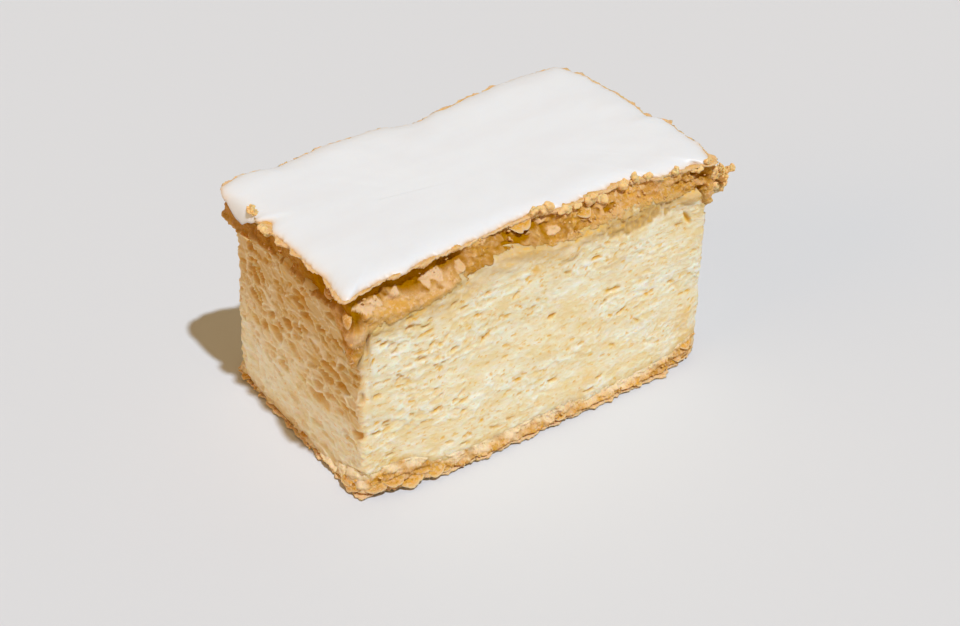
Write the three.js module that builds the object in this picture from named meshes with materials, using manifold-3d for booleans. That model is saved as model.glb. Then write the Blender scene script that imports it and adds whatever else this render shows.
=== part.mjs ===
// A cut slice of cream mille feuille: a thin base crust, a tall block of whipped custard cream, a flaky top crust
// and a sheet of white icing.
// Millimetres, +Z up. The origin is the middle of the slice's footprint, on the surface that it stands on.
// +X runs along the long side, and +Y goes from the cut front to the back.
import * as THREE from "three";
import { mergeVertices } from "three/addons/utils/BufferGeometryUtils.js";
import { ImprovedNoise } from "three/addons/math/ImprovedNoise.js";
import Module from "manifold-3d";

const wasm = await Module();
wasm.setup();

// ---- Driving dimensions ----
const LENGTH = 105; // the cream block, along X
const WIDTH = 62.4; // the cream block, along Y
const HEIGHT = 59.2; // whole slice
const BASE_THICK = 4; // base crust
const CREAM_TOP_LEFT = 47.4; // top of the cream at the left end
const CREAM_TOP_RIGHT = 52; // and at the right end
const ICING_THICK = 1.9; // at its highest
const GAP = 0.3; // between two layers that touch
const CORNER_RADIUS = 2; // of the block, seen from above
const CENTRE = new THREE.Vector2(-2.15, 0.33); // the block's middle, as its overhangs are uneven
const WAVE = 0.6; // slow rise and fall of the icing's top

const HALF_LENGTH = LENGTH / 2;
const HALF_WIDTH = WIDTH / 2;

// How far each layer reaches out past the block's sides, as [place along the side, distance out]. The front and
// back run along X, the left and right along Y.
const CREAM_FOOT = {
  front: [[-52, 0], [-24, 3.8], [35, 4.1], [46, 2.4], [52, -0.2]],
  right: [[-31, 1], [-12, 2.6], [14, 2], [31, 0.6]],
  back: [[-52, 0.5], [-20, 2.2], [22, 1.6], [52, 0.2]],
  left: [[-31, 0.4], [-12, 1.3], [16, 1.4], [31, 0.8]],
};
const CREAM_HEAD = {
  front: [[-52, -1.4], [-20, -1.2], [12, -0.8], [40, -0.6], [52, 0.6]],
  right: [[-31, 1], [-10, 2.4], [31, -0.4]],
  back: [[-52, -0.6], [10, -1.2], [52, 0]],
  left: [[-31, -1.8], [0, -0.8], [31, -2.2]],
};
const BASE_SIDES = {
  front: [[-52, 0.2], [-42, 2.2], [-24, 4.4], [35, 4.4], [46, 2.6], [52, -0.4]],
  right: [[-31, 0.8], [-12, 2.6], [14, 2.2], [31, 0.6]],
  back: [[-52, 0.8], [-20, 2.4], [22, 2], [52, 0.4]],
  left: [[-31, 0.8], [-24, 2.4], [-12, 2.6], [16, 1.8], [31, 1]],
};
const CRUST_FOOT = {
  front: [[-52, -0.6], [-30, -0.4], [0, -0.8], [30, -0.6], [44, 0.2], [52, 1.6]],
  right: [[-31, 2.2], [-10, 3.6], [20, 2.4], [31, 0.8]],
  back: [[-52, 0.2], [-5, -0.4], [20, 0.6], [52, 0.8]],
  left: [[-31, -0.4], [0, 0], [14, 1.2], [31, 1.6]],
};
const ICING_SIDES = {
  front: [[-52, -1.2], [-35, -2.6], [-17, -4.6], [2, -6], [18, -5.4], [29, -4.8], [36, -2.8], [46, -0.2], [52, 1.6]],
  right: [[-31, 2.4], [-18, 5.2], [-8, 6.6], [-4, 4.2], [6, 5], [21, 4.2], [31, 2.2]],
  back: [[-52, 1.2], [-46, 2.8], [-37, 1], [-21, 2.9], [-8, 2.2], [3, -1], [11, 1], [24, 3], [38, 3.9], [52, 3]],
  left: [[-31, 0.6], [-22, 0.2], [-12, 0], [8, 0.2], [12, 1.8], [20, 2.2], [27, 1.6], [31, 0.2]],
};
const CRUST_MARGIN = { front: 2, right: 1.2, back: 1.1, left: 1.3 }; // top crust past the icing

// ---- Helpers ----
const noise = new ImprovedNoise();
const rough = (x, y, z, size) => noise.noise(x / size + 7.3, y / size + 3.1, z / size + 5.7);
const mix = THREE.MathUtils.lerp;
const clamp = THREE.MathUtils.clamp;
const ease = THREE.MathUtils.smoothstep;

// The value at one place of a curve that eases from each [place, value] pair to the next.
function along(pairs, place) {
  const next = pairs.findIndex(([p]) => p > place);
  if (next === 0) return pairs[0][1];
  if (next < 0) return pairs[pairs.length - 1][1];
  const [from, to] = [pairs[next - 1], pairs[next]];
  return mix(from[1], to[1], ease(place, from[0], to[0]));
}

// How far a point of the block's plan is moved by what its layer's sides reach out.
function reach(sides, x, y) {
  const u = clamp((x / HALF_LENGTH + 1) / 2, 0, 1);
  const v = clamp((y / HALF_WIDTH + 1) / 2, 0, 1);
  return new THREE.Vector2(
    mix(-along(sides.left, y), along(sides.right, y), u),
    mix(-along(sides.front, x), along(sides.back, x), v),
  );
}

// Which way is out at a point of the block's outline.
function outward(x, y) {
  const inner = new THREE.Vector2(HALF_LENGTH - CORNER_RADIUS, HALF_WIDTH - CORNER_RADIUS);
  const core = new THREE.Vector2(clamp(x, -inner.x, inner.x), clamp(y, -inner.y, inner.y));
  return new THREE.Vector2(x, y).sub(core).normalize();
}

// A point of the block's outline, moved with its layer's sides and then straight out by a distance.
function moved(x, y, sides, distance) {
  const out = outward(x, y);
  return [x + sides.x + out.x * distance, y + sides.y + out.y * distance];
}

// The block's outline from above: a rectangle with round corners, in steps of about one spacing.
function blockOutline(spacing) {
  const shape = new THREE.Shape();
  const [a, b, r] = [HALF_LENGTH, HALF_WIDTH, CORNER_RADIUS];
  const corners = [
    [a - r, b - r, 0],
    [r - a, b - r, 1],
    [r - a, r - b, 2],
    [a - r, r - b, 3],
  ];
  const points = [];
  corners.forEach(([x, y, quarter], i) => {
    for (let k = 0; k <= 2; k++) {
      const angle = ((quarter + k / 2) * Math.PI) / 2;
      points.push(new THREE.Vector2(x + r * Math.cos(angle), y + r * Math.sin(angle)));
    }
    const start = points[points.length - 1];
    const [nx, ny, nextQuarter] = corners[(i + 1) % corners.length];
    const turn = (nextQuarter * Math.PI) / 2;
    const end = new THREE.Vector2(nx + r * Math.cos(turn), ny + r * Math.sin(turn));
    const steps = Math.round(start.distanceTo(end) / spacing);
    for (let k = 1; k < steps; k++) points.push(start.clone().lerp(end, k / steps));
  });
  return shape.setFromPoints(points);
}

function closed(geometry) {
  geometry.deleteAttribute("normal");
  geometry.deleteAttribute("uv");
  return mergeVertices(geometry);
}

// A layer as rings round the block, one for each row, closed by a flat face at each end. place(x, y, row) gives the
// point of one ring that belongs to the point x, y of the block's outline.
function ringStack(rows, spacing, place) {
  const steps = rows.length - 1;
  const geometry = closed(
    new THREE.ExtrudeGeometry(blockOutline(spacing), { depth: steps, steps, bevelEnabled: false }),
  );
  const position = geometry.attributes.position;
  for (let i = 0; i < position.count; i++) {
    const row = rows[Math.round(position.getZ(i))];
    position.setXYZ(i, ...place(position.getX(i), position.getY(i), row));
  }
  return geometry;
}

// ---- Heights where one layer meets the next, and of the top ----
const creamTop = (x) => mix(CREAM_TOP_LEFT, CREAM_TOP_RIGHT, x / LENGTH + 0.5);
const ICING_FLOOR = HEIGHT - ICING_THICK;
const CRUST_TOP = ICING_FLOOR - GAP;
const icingTop = (x, y) => HEIGHT - (WAVE / 2) * (1 + Math.sin(x / 15 + 0.6) * Math.cos(y / 13 - 0.4));

// ---- The layers ----
// The cream's form, whose sides grow(x, y, share) moves outwards: the share is of the cream's height.
function creamForm(levels, spacing, grow) {
  const rows = Array.from({ length: levels + 1 }, (_, k) => k / levels);
  return ringStack(rows, spacing, (x, y, share) => {
    const sides = reach(CREAM_FOOT, x, y).lerp(reach(CREAM_HEAD, x, y), share ** 1.3);
    const [px, py] = moved(x, y, sides, grow(x, y, share));
    return [px, py, mix(BASE_THICK + GAP, creamTop(px), share)];
  });
}

// Cream: drawn-out pockets where the knife tore the air bubbles open, always cut inwards.
function cream() {
  const pocketDepth = 3.4;
  return creamForm(14, 2.7, (x, y, share) => {
    const z = share * HEIGHT;
    const fine = Math.max(0, rough(x / 2, y / 2, z, 2.7));
    const broad = Math.max(0, rough(x, y, z * 1.6, 7));
    const inTheFace = share > 0 && share < 1 ? 1 : 0.2;
    return -pocketDepth * inTheFace * (fine + 0.4 * broad);
  });
}

// A crust's rows: each leaf of pastry is a ragged rim that stands out, with a dark groove under the next.
// Every leaf is [bottom, top, distance out], the heights as shares of the crust.
function leafRows(leaves, groove) {
  return leaves.flatMap(([low, high, out], leaf) => [
    { share: low, out: leaf ? groove : out - 0.4, leaf, ragged: leaf ? 0.4 : 1 },
    { share: mix(low, high, 0.25), out, leaf, ragged: 1 },
    { share: high, out: out - 0.2, leaf, ragged: 1 },
  ]);
}

const raggedEdge = (x, y, leaf) => 0.9 * rough(x, y, leaf * 9, 3.1) + 1.1 * rough(x, y, leaf * 5 + 40, 8);

function baseSheet() {
  const leaves = [
    [0, 0.3, 0.3],
    [0.36, 0.66, 0.7],
    [0.72, 1, 0.1],
  ];
  return ringStack(leafRows(leaves, -0.9), 3, (x, y, row) => {
    const distance = row.out + row.ragged * raggedEdge(x, y, row.leaf);
    return [...moved(x, y, reach(BASE_SIDES, x, y), distance), BASE_THICK * row.share];
  });
}

function crustUpperSides() {
  const wider = (name) => ICING_SIDES[name].map(([place, out]) => [place, out + CRUST_MARGIN[name]]);
  return Object.fromEntries(Object.keys(ICING_SIDES).map((name) => [name, wider(name)]));
}

function crustSheet() {
  const leaves = [
    [0, 0.2, 0.2],
    [0.25, 0.42, 0.9],
    [0.47, 0.6, -0.2],
    [0.8, 1, 0.1],
  ];
  const upper = crustUpperSides();
  return ringStack(leafRows(leaves, -1.5), 2.6, (x, y, row) => {
    const sides = reach(CRUST_FOOT, x, y).lerp(reach(upper, x, y), ease(row.share, 0.1, 0.85));
    const onTop = row.share === 1;
    const distance = row.out + (onTop ? 0.5 : 1) * row.ragged * raggedEdge(x, y, row.leaf + 11);
    const [px, py] = moved(x, y, sides, distance);
    return [px, py, mix(creamTop(px) + GAP, CRUST_TOP, row.share)];
  });
}

// A loose flake of crust: a thin bent plate with a ragged edge. It is tilted up, rolled and then headed by its three
// angles: tilted by 90, it stands up and faces the front, and headed by -90 it then faces the left.
function flake({ at, size, turn, bend = 0, seed = 0 }) {
  const [width, height, thick] = size;
  const corners = 9;
  const outline = new THREE.Shape();
  outline.setFromPoints(
    Array.from({ length: corners }, (_, k) => {
      const angle = (k / corners) * 2 * Math.PI;
      const rag = 1 + 0.45 * rough(Math.cos(angle), Math.sin(angle), seed, 0.6);
      return new THREE.Vector2((width / 2) * rag * Math.cos(angle), (height / 2) * rag * Math.sin(angle));
    }),
  );
  const geometry = closed(new THREE.ExtrudeGeometry(outline, { depth: thick, bevelEnabled: false }));
  geometry.translate(0, 0, -thick / 2);
  const position = geometry.attributes.position;
  for (let i = 0; i < position.count; i++) {
    const fromMiddle = position.getX(i) / (width / 2);
    position.setZ(i, position.getZ(i) - bend * fromMiddle ** 2);
  }
  const angles = turn.map(THREE.MathUtils.degToRad);
  const placed = new THREE.Matrix4().makeRotationFromEuler(new THREE.Euler(...angles, "ZYX"));
  return geometry.applyMatrix4(placed.setPosition(...at));
}

function solid(geometry) {
  return new wasm.Manifold(
    new wasm.Mesh({
      numProp: 3,
      vertProperties: new Float32Array(geometry.attributes.position.array),
      triVerts: new Uint32Array(geometry.index.array),
    }),
  );
}

function geometryOf(manifold) {
  const made = manifold.getMesh();
  return new THREE.BufferGeometry()
    .setAttribute("position", new THREE.BufferAttribute(made.vertProperties, 3))
    .setIndex(new THREE.BufferAttribute(made.triVerts, 1));
}

// Flakes that lean on the cream from the base: a run of them at the near left corner, and a lump at the right end.
function baseFlakes() {
  const front = -HALF_WIDTH;
  const left = -HALF_LENGTH;
  return [
    flake({ at: [left, front - 0.2, 3.6], size: [9, 5.6, 1.1], turn: [76, 0, -40], bend: 2.4, seed: 51 }),
    flake({ at: [left + 8, front - 1.8, 4.8], size: [12, 6, 1.1], turn: [72, 4, -3], seed: 52 }),
    flake({ at: [left + 18, front - 3.4, 4.4], size: [12, 6.4, 1.1], turn: [72, -3, -8], seed: 53 }),
    flake({ at: [left + 28, front - 4.3, 3.8], size: [10, 5, 1], turn: [74, -6, -6], seed: 54 }),
    flake({ at: [HALF_LENGTH - 20, front - 4.3, 4], size: [9, 5, 1], turn: [74, 6, 2], seed: 55 }),
    flake({ at: [HALF_LENGTH - 10, front - 3.4, 5], size: [9, 7.6, 1.2], turn: [76, 4, 10], seed: 56 }),
    flake({ at: [HALF_LENGTH - 3, front - 1.4, 6], size: [7, 8, 1.2], turn: [80, 0, 26], bend: 0.8, seed: 57 }),
    flake({ at: [left - 1.4, front + 12, 3.4], size: [13, 4.6, 1], turn: [80, 0, -90], seed: 58 }),
    flake({ at: [left - 1.5, front + 28, 3], size: [12, 4, 1], turn: [80, 2, -90], seed: 59 }),
  ];
}

// Flakes that hang down the near left corner, one over another, from the crust's lowest leaf.
function cornerFlakes() {
  const [left, front] = [-HALF_LENGTH, -HALF_WIDTH];
  const drops = [
    { fall: 48, wide: 8, tall: 6.4, away: 0.2 },
    { fall: 44.8, wide: 6.6, tall: 6.4, away: 0.7 },
    { fall: 41.6, wide: 5.6, tall: 6, away: 0.4 },
    { fall: 38.6, wide: 4.6, tall: 5.2, away: 0.9 },
  ];
  return drops.map(({ fall, wide, tall, away }, i) =>
    flake({
      at: [left + 0.4 - away, front + 0.4 - away, fall],
      size: [wide, tall, 1.1],
      turn: [90 + (i % 2 ? 6 : -6), 0, -45],
      bend: 0.9,
      seed: i + 1,
    }),
  );
}

// The browned leaf that droops over the cream's front, and the tip that stands out at the right end.
function frontFlakes() {
  const front = -HALF_WIDTH;
  return [
    flake({ at: [-45, front + 0.2, 48], size: [9, 6.4, 1.1], turn: [84, 0, -2], seed: 20 }),
    flake({ at: [-37.5, front - 0.4, 48.6], size: [13, 7.6, 1.1], turn: [80, 0, -2], seed: 21 }),
    flake({ at: [-28, front - 0.4, 49.4], size: [12, 7, 1.1], turn: [78, 6, 0], seed: 22 }),
    flake({ at: [-17, front - 0.2, 50.6], size: [12, 5.6, 1.1], turn: [76, -6, 1], seed: 23 }),
    flake({ at: [54.5, front - 1.6, 55], size: [10, 6, 1.8], turn: [14, -8, 24], seed: 31 }),
    flake({ at: [50, front - 0.8, 52.2], size: [9, 5, 1.4], turn: [62, -8, 14], seed: 32 }),
    flake({ at: [55.2, front + 1.6, 51.6], size: [7.6, 6.4, 1.8], turn: [80, 6, 48], seed: 33 }),
  ];
}

// A crust sheet with its flakes, which are trimmed so that they lie against the cream and end at the floor.
function crust(sheet, flakes) {
  const creamAndGap = solid(creamForm(6, 3, () => 1.3 * GAP));
  const underTheFloor = new THREE.BoxGeometry(2 * LENGTH, 2 * WIDTH, HEIGHT).translate(0, 0, -HEIGHT / 2);
  const kept = creamAndGap.add(solid(closed(underTheFloor)));
  const joined = flakes.reduce((sum, one) => sum.add(solid(one).subtract(kept)), solid(sheet));
  return geometryOf(joined);
}

// Icing: a thin sheet with a soft shoulder. Its rows go up the edge and then in over the top.
function icing() {
  const rows = [
    { height: 0, out: 0 },
    { height: 0.55, out: 0.35 },
    { height: 0.9, out: 0 },
    { height: 1, out: -1 },
    { height: 1, inset: 0.14 },
    { height: 1, inset: 0.42 },
    { height: 1, inset: 0.72 },
  ];
  return ringStack(rows, 2.5, (x, y, { height, out: distance = -1, inset = 0 }) => {
    const ragged = distance + 0.5 * rough(x, y, 70, 2.6);
    const [px, py] = moved(x, y, reach(ICING_SIDES, x, y), ragged).map((side) => side * (1 - inset));
    return [px, py, mix(ICING_FLOOR, icingTop(px, py), height)];
  });
}

// ---- The slice ----
const FINISHES = {
  crust: { color: "#c98a3e", roughness: 0.75 },
  cream: { color: "#efdca6", roughness: 0.6 },
  icing: { color: "#f2f0ee", roughness: 0.45 },
};

function piece(name, geometry, finish) {
  const material = new THREE.MeshStandardMaterial({ ...FINISHES[finish], metalness: 0 });
  const mesh = new THREE.Mesh(geometry, material);
  mesh.name = name;
  return mesh;
}

const slice = new THREE.Group();
slice.add(
  piece("base_crust", crust(baseSheet(), baseFlakes()), "crust"),
  piece("custard_cream", cream(), "cream"),
  piece("top_crust", crust(crustSheet(), [...cornerFlakes(), ...frontFlakes()]), "crust"),
  piece("icing", icing(), "icing"),
);
slice.position.set(CENTRE.x, CENTRE.y, 0);

export default slice;
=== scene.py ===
"""A slice of cream mille feuille: flaky base, tall custard cream, flaky top and a sheet of white icing.

Lengths in the code are millimetres, until ride_body turns them into metres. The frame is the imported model's:
+X along the long side, +Y from the cut front to the back, +Z up, and the slice stands on z = 0.
"""
import math
import random

import bmesh
import bpy
import numpy as np
from mathutils import Euler, Matrix, Vector, noise


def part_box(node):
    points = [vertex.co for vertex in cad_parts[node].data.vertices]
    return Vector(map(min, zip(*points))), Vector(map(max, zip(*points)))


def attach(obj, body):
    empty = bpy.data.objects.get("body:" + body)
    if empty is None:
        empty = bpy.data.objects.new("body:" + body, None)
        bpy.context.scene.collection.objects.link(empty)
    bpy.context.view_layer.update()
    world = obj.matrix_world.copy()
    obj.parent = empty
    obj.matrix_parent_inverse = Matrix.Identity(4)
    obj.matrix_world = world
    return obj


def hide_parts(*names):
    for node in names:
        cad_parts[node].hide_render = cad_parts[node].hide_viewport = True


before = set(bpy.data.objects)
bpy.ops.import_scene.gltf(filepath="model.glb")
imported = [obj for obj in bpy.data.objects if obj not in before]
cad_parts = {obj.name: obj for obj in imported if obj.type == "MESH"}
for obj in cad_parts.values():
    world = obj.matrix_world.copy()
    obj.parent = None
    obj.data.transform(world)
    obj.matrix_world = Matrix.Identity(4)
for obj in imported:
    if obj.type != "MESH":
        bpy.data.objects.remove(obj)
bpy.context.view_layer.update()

bl_info = {
    "name": "Mille Feuille Slice",
    "version": (1, 0, 0),
    "blender": (4, 5, 0),
    "location": "3D Viewport > Sidebar > Mille Feuille",
    "description": "Makes a slice of cream mille feuille: flaky pastry, custard cream and white icing",
    "category": "Add Mesh",
}

MM = 0.001
BODY = "root"

# ---- Where the slice stands, in mm ----
# The block is the cream's plain box. Its middle isn't the frame's origin, because the pastry overhangs
# unevenly.
BLOCK_MIDDLE = np.array([-2.15, 0.33])
CORNER_RADIUS = 2.0
# A point belongs to the front or back where its way out points there by more than this.
FACING = 0.6
# How high over the floor the base pastry's torn sheet and leaves stay at least.
LOWEST = 0.03

# How far each layer reaches out past the block's sides, as (place along the side, distance out). The front
# and back run along X, the left and right along Y.
CREAM_FOOT = {
    "front": [(-52, 0), (-24, 3.8), (35, 4.1), (46, 2.4), (52, -0.2)],
    "right": [(-31, 1), (-12, 2.6), (14, 2), (31, 0.6)],
    "back": [(-52, 0.5), (-20, 2.2), (22, 1.6), (52, 0.2)],
    "left": [(-31, 0.4), (-12, 1.3), (16, 1.4), (31, 0.8)],
}
CREAM_HEAD = {
    "front": [(-52, -1.4), (-20, -1.2), (12, -0.8), (40, -0.6), (52, 0.6)],
    "right": [(-31, 1), (-10, 2.4), (31, -0.4)],
    "back": [(-52, -0.6), (10, -1.2), (52, 0)],
    "left": [(-31, -1.8), (0, -0.8), (31, -2.2)],
}
BASE_SIDES = {
    "front": [(-52, 0.2), (-42, 2.2), (-24, 4.4), (35, 4.4), (46, 2.6), (52, -0.4)],
    "right": [(-31, 0.8), (-12, 2.6), (14, 2.2), (31, 0.6)],
    "back": [(-52, 0.8), (-20, 2.4), (22, 2), (52, 0.4)],
    "left": [(-31, 0.8), (-24, 1.6), (-12, 1.7), (16, 1.6), (31, 1)],
}
CRUST_FOOT = {
    "front": [(-52, -0.8), (-30, -0.8), (0, -1), (30, -0.8), (44, 0), (52, 1.4)],
    "right": [(-31, 2.2), (-10, 3.6), (20, 2.4), (31, 0.8)],
    "back": [(-52, 0.2), (-5, -0.4), (20, 0.6), (52, 0.8)],
    "left": [(-31, -0.2), (-24, -0.6), (0, -0.6), (14, 0.4), (24, 1.4), (31, 1.8)],
}
ICING_SIDES = {
    "front": [
        (-52, -1.9), (-47, -3.9), (-42, -4.4), (-36, -4.2), (-29, -5.6), (-18, -5.9), (-10, -6.8), (-3, -7.4),
        (4, -7.2), (9, -5.2), (17, -5.8), (27, -5.8), (33, -4.8), (37, -2.4), (46, -2), (52, 0.6),
    ],
    "right": [(-31, 2.4), (-18, 5.2), (-8, 6.6), (-4, 4.2), (6, 5), (21, 4.2), (31, 2.2)],
    "back": [
        (-52, 1.2), (-46, 2.8), (-37, 1), (-21, 2.9), (-8, 2.2), (3, -1), (11, 1), (24, 3), (38, 3.9),
        (52, 3),
    ],
    "left": [
        (-31, 0.7), (-27, 0.5), (-20, -0.5), (-8, -0.5), (4, -0.4), (8, -1.6), (12, 0.6), (19, 1.4),
        (27, 1.2), (31, 0),
    ],
}
SIDES = ("front", "right", "back", "left")
# How far the top pastry's upper edge reaches past the icing, and how far the icing hangs down over it.
BRIM = {
    "front": [
        (-51, 0.7), (-46, 1), (-42.5, 0.6), (-40.5, 0.1), (-38.5, 0.9), (-36, 0.3), (-33.5, 0.1), (-31, 1.2),
        (-27, 1.1), (-25, 0.1), (-23, 0.2), (-20, 1), (-15, 0.6), (-6, 0.8), (6, 0.9), (30, 0.8), (45, 1),
        (51, 0.8),
    ],
    "right": [(-28, 1.2), (-20, 0.5), (28, 0.5)],
    "back": [(50, 0.5), (-50, 0.5)],
    "left": [
        (29, -0.8), (24, -2.4), (16, -2.4), (11.5, -0.4), (7, 1.8), (3, 0.2), (0, 1), (-3, 0.1), (-6, 0.9),
        (-10, 0.1), (-14, 0.7), (-18, 0), (-22, 0.6), (-26, 0.3),
    ],
}
DRIP = {
    "front": [(-51, 0.5), (-46, 0.2), (45, 0.2), (51, 0.6)],
    "right": [(-24, 0.2), (-8, 1.2), (6, 0.4), (28, 0.3)],
    "back": [(40, 0.3), (20, 0.8), (4, 0.1), (-50, 0.4)],
    "left": [(30, 0.4), (26, 1), (22, 3), (18, 3.8), (14.5, 2.2), (11, 0.1), (-20, 0.2), (-28, 0.6)],
}
# The height at which the top pastry meets the cream, and the base pastry's upper edge, as (place, height).
CRUST_LINE = {
    "front": [
        (-50.3, 41.5), (-48.6, 47.6), (-45, 48.8), (-38, 47.8), (-33, 48.3), (-27, 49.7), (-23, 51.5),
        (-17, 52.9), (-11, 53.4), (-3, 52), (6, 50), (17, 50.6), (30, 51.6), (36, 51.2), (44, 50.7),
        (48.4, 51), (50.3, 47),
    ],
    "right": [(-29, 46.4), (-25, 48.6), (-12, 50.6), (6, 50), (28, 51)],
    "back": [(50, 51), (20, 50.2), (-12, 51.2), (-50, 50.6)],
    "left": [
        (28, 50.4), (22, 49.8), (14, 50.6), (6, 50.6), (-4, 49.6), (-12, 49), (-19, 49.6), (-23, 46),
        (-26, 40), (-29, 38.5),
    ],
}
BASE_LINE = {
    "front": [
        (-50, 6.8), (-40, 6.6), (-32, 4.2), (-20, 3.2), (0, 3.4), (5, 4.2), (17, 3.1), (31, 3.3), (41, 5),
        (50, 7),
    ],
    "right": [(-28, 6), (-10, 4), (10, 4.4), (28, 3.8)],
    "back": [(50, 4), (20, 3.6), (-12, 4.4), (-50, 3.8)],
    "left": [(28, 2.4), (10, 2.3), (-8, 2.6), (-20, 3.4), (-28, 5.6)],
}
# How strong the recess under the top pastry's brim is, from 0 to 1, and the share of the height at which it
# begins.
RECESS = {
    "front": [(-50, 1), (-30, 1), (-20.5, 0.95), (-17.5, 0.1), (-12, 0), (40, 0), (46, 0.1), (50, 0.7)],
    "right": [(-28, 0.5), (-20, 0.2), (0, 0.6), (28, 0.5)],
    "back": [(50, 0.5), (20, 0.8), (0, 0.3), (-30, 0.8), (-50, 0.6)],
    "left": [(28, 0.5), (18, 0.6), (8, 0.8), (-2, 0.7), (-12, 1), (-24, 1), (-28, 0.9)],
}
RECESS_FOOT = {
    "front": [
        (-50, 0.5), (-47.8, 0.6), (-45.5, 0.6), (-42, 0.52), (-39.8, 0.72), (-38, 0.62), (-35, 0.4),
        (-31, 0.38), (-26, 0.46), (-20, 0.42), (-15, 0.6), (-9, 1.3), (38, 1.3), (44, 0.4), (50, 0.55),
    ],
    "right": [(-28, 0.5), (-20, 0.3), (28, 0.2)],
    "back": [(50, 0.2), (0, 0.4), (-50, 0.2)],
    "left": [(28, 0.15), (10, 0.1), (-10, 0.1), (-19, 0.15), (-24, 0.5), (-28, 0.5)],
}
# The shares of the top pastry's height between which its face slopes in from the foot to the brim.
SLOPE_FOOT = {
    "front": [(-50, 0.55), (-44, 0.25), (-30, 0.2), (-15, 0), (50, 0.1)],
    "right": [(-28, 0.1), (28, 0.1)],
    "back": [(50, 0.1), (-50, 0.1)],
    "left": [(28, 0.1), (-18, 0.1), (-28, 0.6)],
}
SLOPE_HEAD = {
    "front": [(-50, 0.9), (-44, 0.6), (-30, 0.6), (-15, 1), (50, 1)],
    "right": [(-28, 1), (28, 1)],
    "back": [(50, 1), (-50, 1)],
    "left": [(28, 1), (-28, 1)],
}
# How thickly flakes and crumbs lie, and how smooth the leaves' faces are.
FLAKED = {
    "front": [(-50, 1), (-44, 0.3), (-28, 0.3), (-18, 0.6), (-5, 0.8), (10, 1), (20, 0.8), (50, 1)],
    "right": [(-28, 1), (28, 0.8)],
    "back": [(50, 0.8), (-50, 0.8)],
    "left": [(28, 0.3), (0, 0.2), (-20, 0.2), (-26, 1)],
}
SMOOTH = {
    "front": [
        (-50, 0.2), (-45, 0.85), (-30, 0.85), (-24, 0.3), (-10, 0.2), (8, 0.3), (28, 0.5), (42, 0.4),
        (50, 0.1),
    ],
    "right": [(-28, 0.1), (28, 0.3)],
    "back": [(50, 0.3), (-50, 0.3)],
    "left": [(28, 0.1), (-28, 0.1)],
}
# How far the base pastry's torn edge stands out.
BASE_FLARE = {
    "front": [(-50, 0.4), (-44, 0.6), (-20, 0.8), (30, 0.8), (50, 0.5)],
    "right": [(-28, 0.5), (28, 0.5)],
    "back": [(50, 0.6), (-50, 0.6)],
    "left": [(28, 0.2), (0, 0.1), (-28, 0.3)],
}
# Lumps and dents in the top pastry's front: (x, height, half length, half height, slant, distance out, tone),
# where tone goes from -1, painted shade, to 1, pale torn crumb with painted highlight on lit ledges.
CRUST_MARKS = [
    (-3.0, 53.8, 19.0, 4.2, 0.05, 0.0, -0.6),
    (-46.8, 53.1, 4.4, 1.0, -0.1, 0.5, 0.8),
    (-39.4, 53.0, 2.0, 0.9, 0.5, 0.3, 0.5),
    (-41.4, 53.4, 1.1, 1.5, -0.4, -0.9, -0.9),
    (-28.4, 52.9, 3.8, 1.1, 0.1, 0.4, 0.7),
    (-31.6, 51.5, 1.3, 0.6, -0.3, -0.6, -0.7),
    (-27.8, 51.4, 1.2, 0.5, -0.2, -0.6, -0.6),
    (-21.0, 53.4, 1.6, 0.8, 0.6, 0.3, 0.4),
    (-4.2, 54.4, 5.4, 2.0, 0.25, -1.0, -1.0),
    (2.2, 55.4, 2.0, 0.6, 0.2, -0.9, -0.9),
    (5.0, 54.5, 2.0, 0.6, -0.1, -0.6, -0.7),
    (6.6, 53.2, 1.7, 1.1, 0.1, 0.5, 0.9),
    (4.6, 55.6, 1.8, 0.5, 0.0, 0.4, 0.7),
    (14.4, 52.2, 3.0, 0.9, 0.1, -0.5, -0.7),
    (19.6, 54.2, 1.2, 1.7, 0.2, -0.9, -0.8),
    (23.8, 53.6, 2.2, 0.7, 0.1, -0.8, -0.9),
    (45.2, 54.2, 3.2, 0.5, -0.2, -0.6, -0.7),
    (49.5, 56.0, 1.7, 1.1, -0.2, -1.2, -1.0),
    (51.4, 54.0, 2.2, 1.1, -0.2, -1.2, -1.0),
    (50.6, 51.6, 2.0, 0.8, -0.2, -0.9, -1.0),
]
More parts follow.
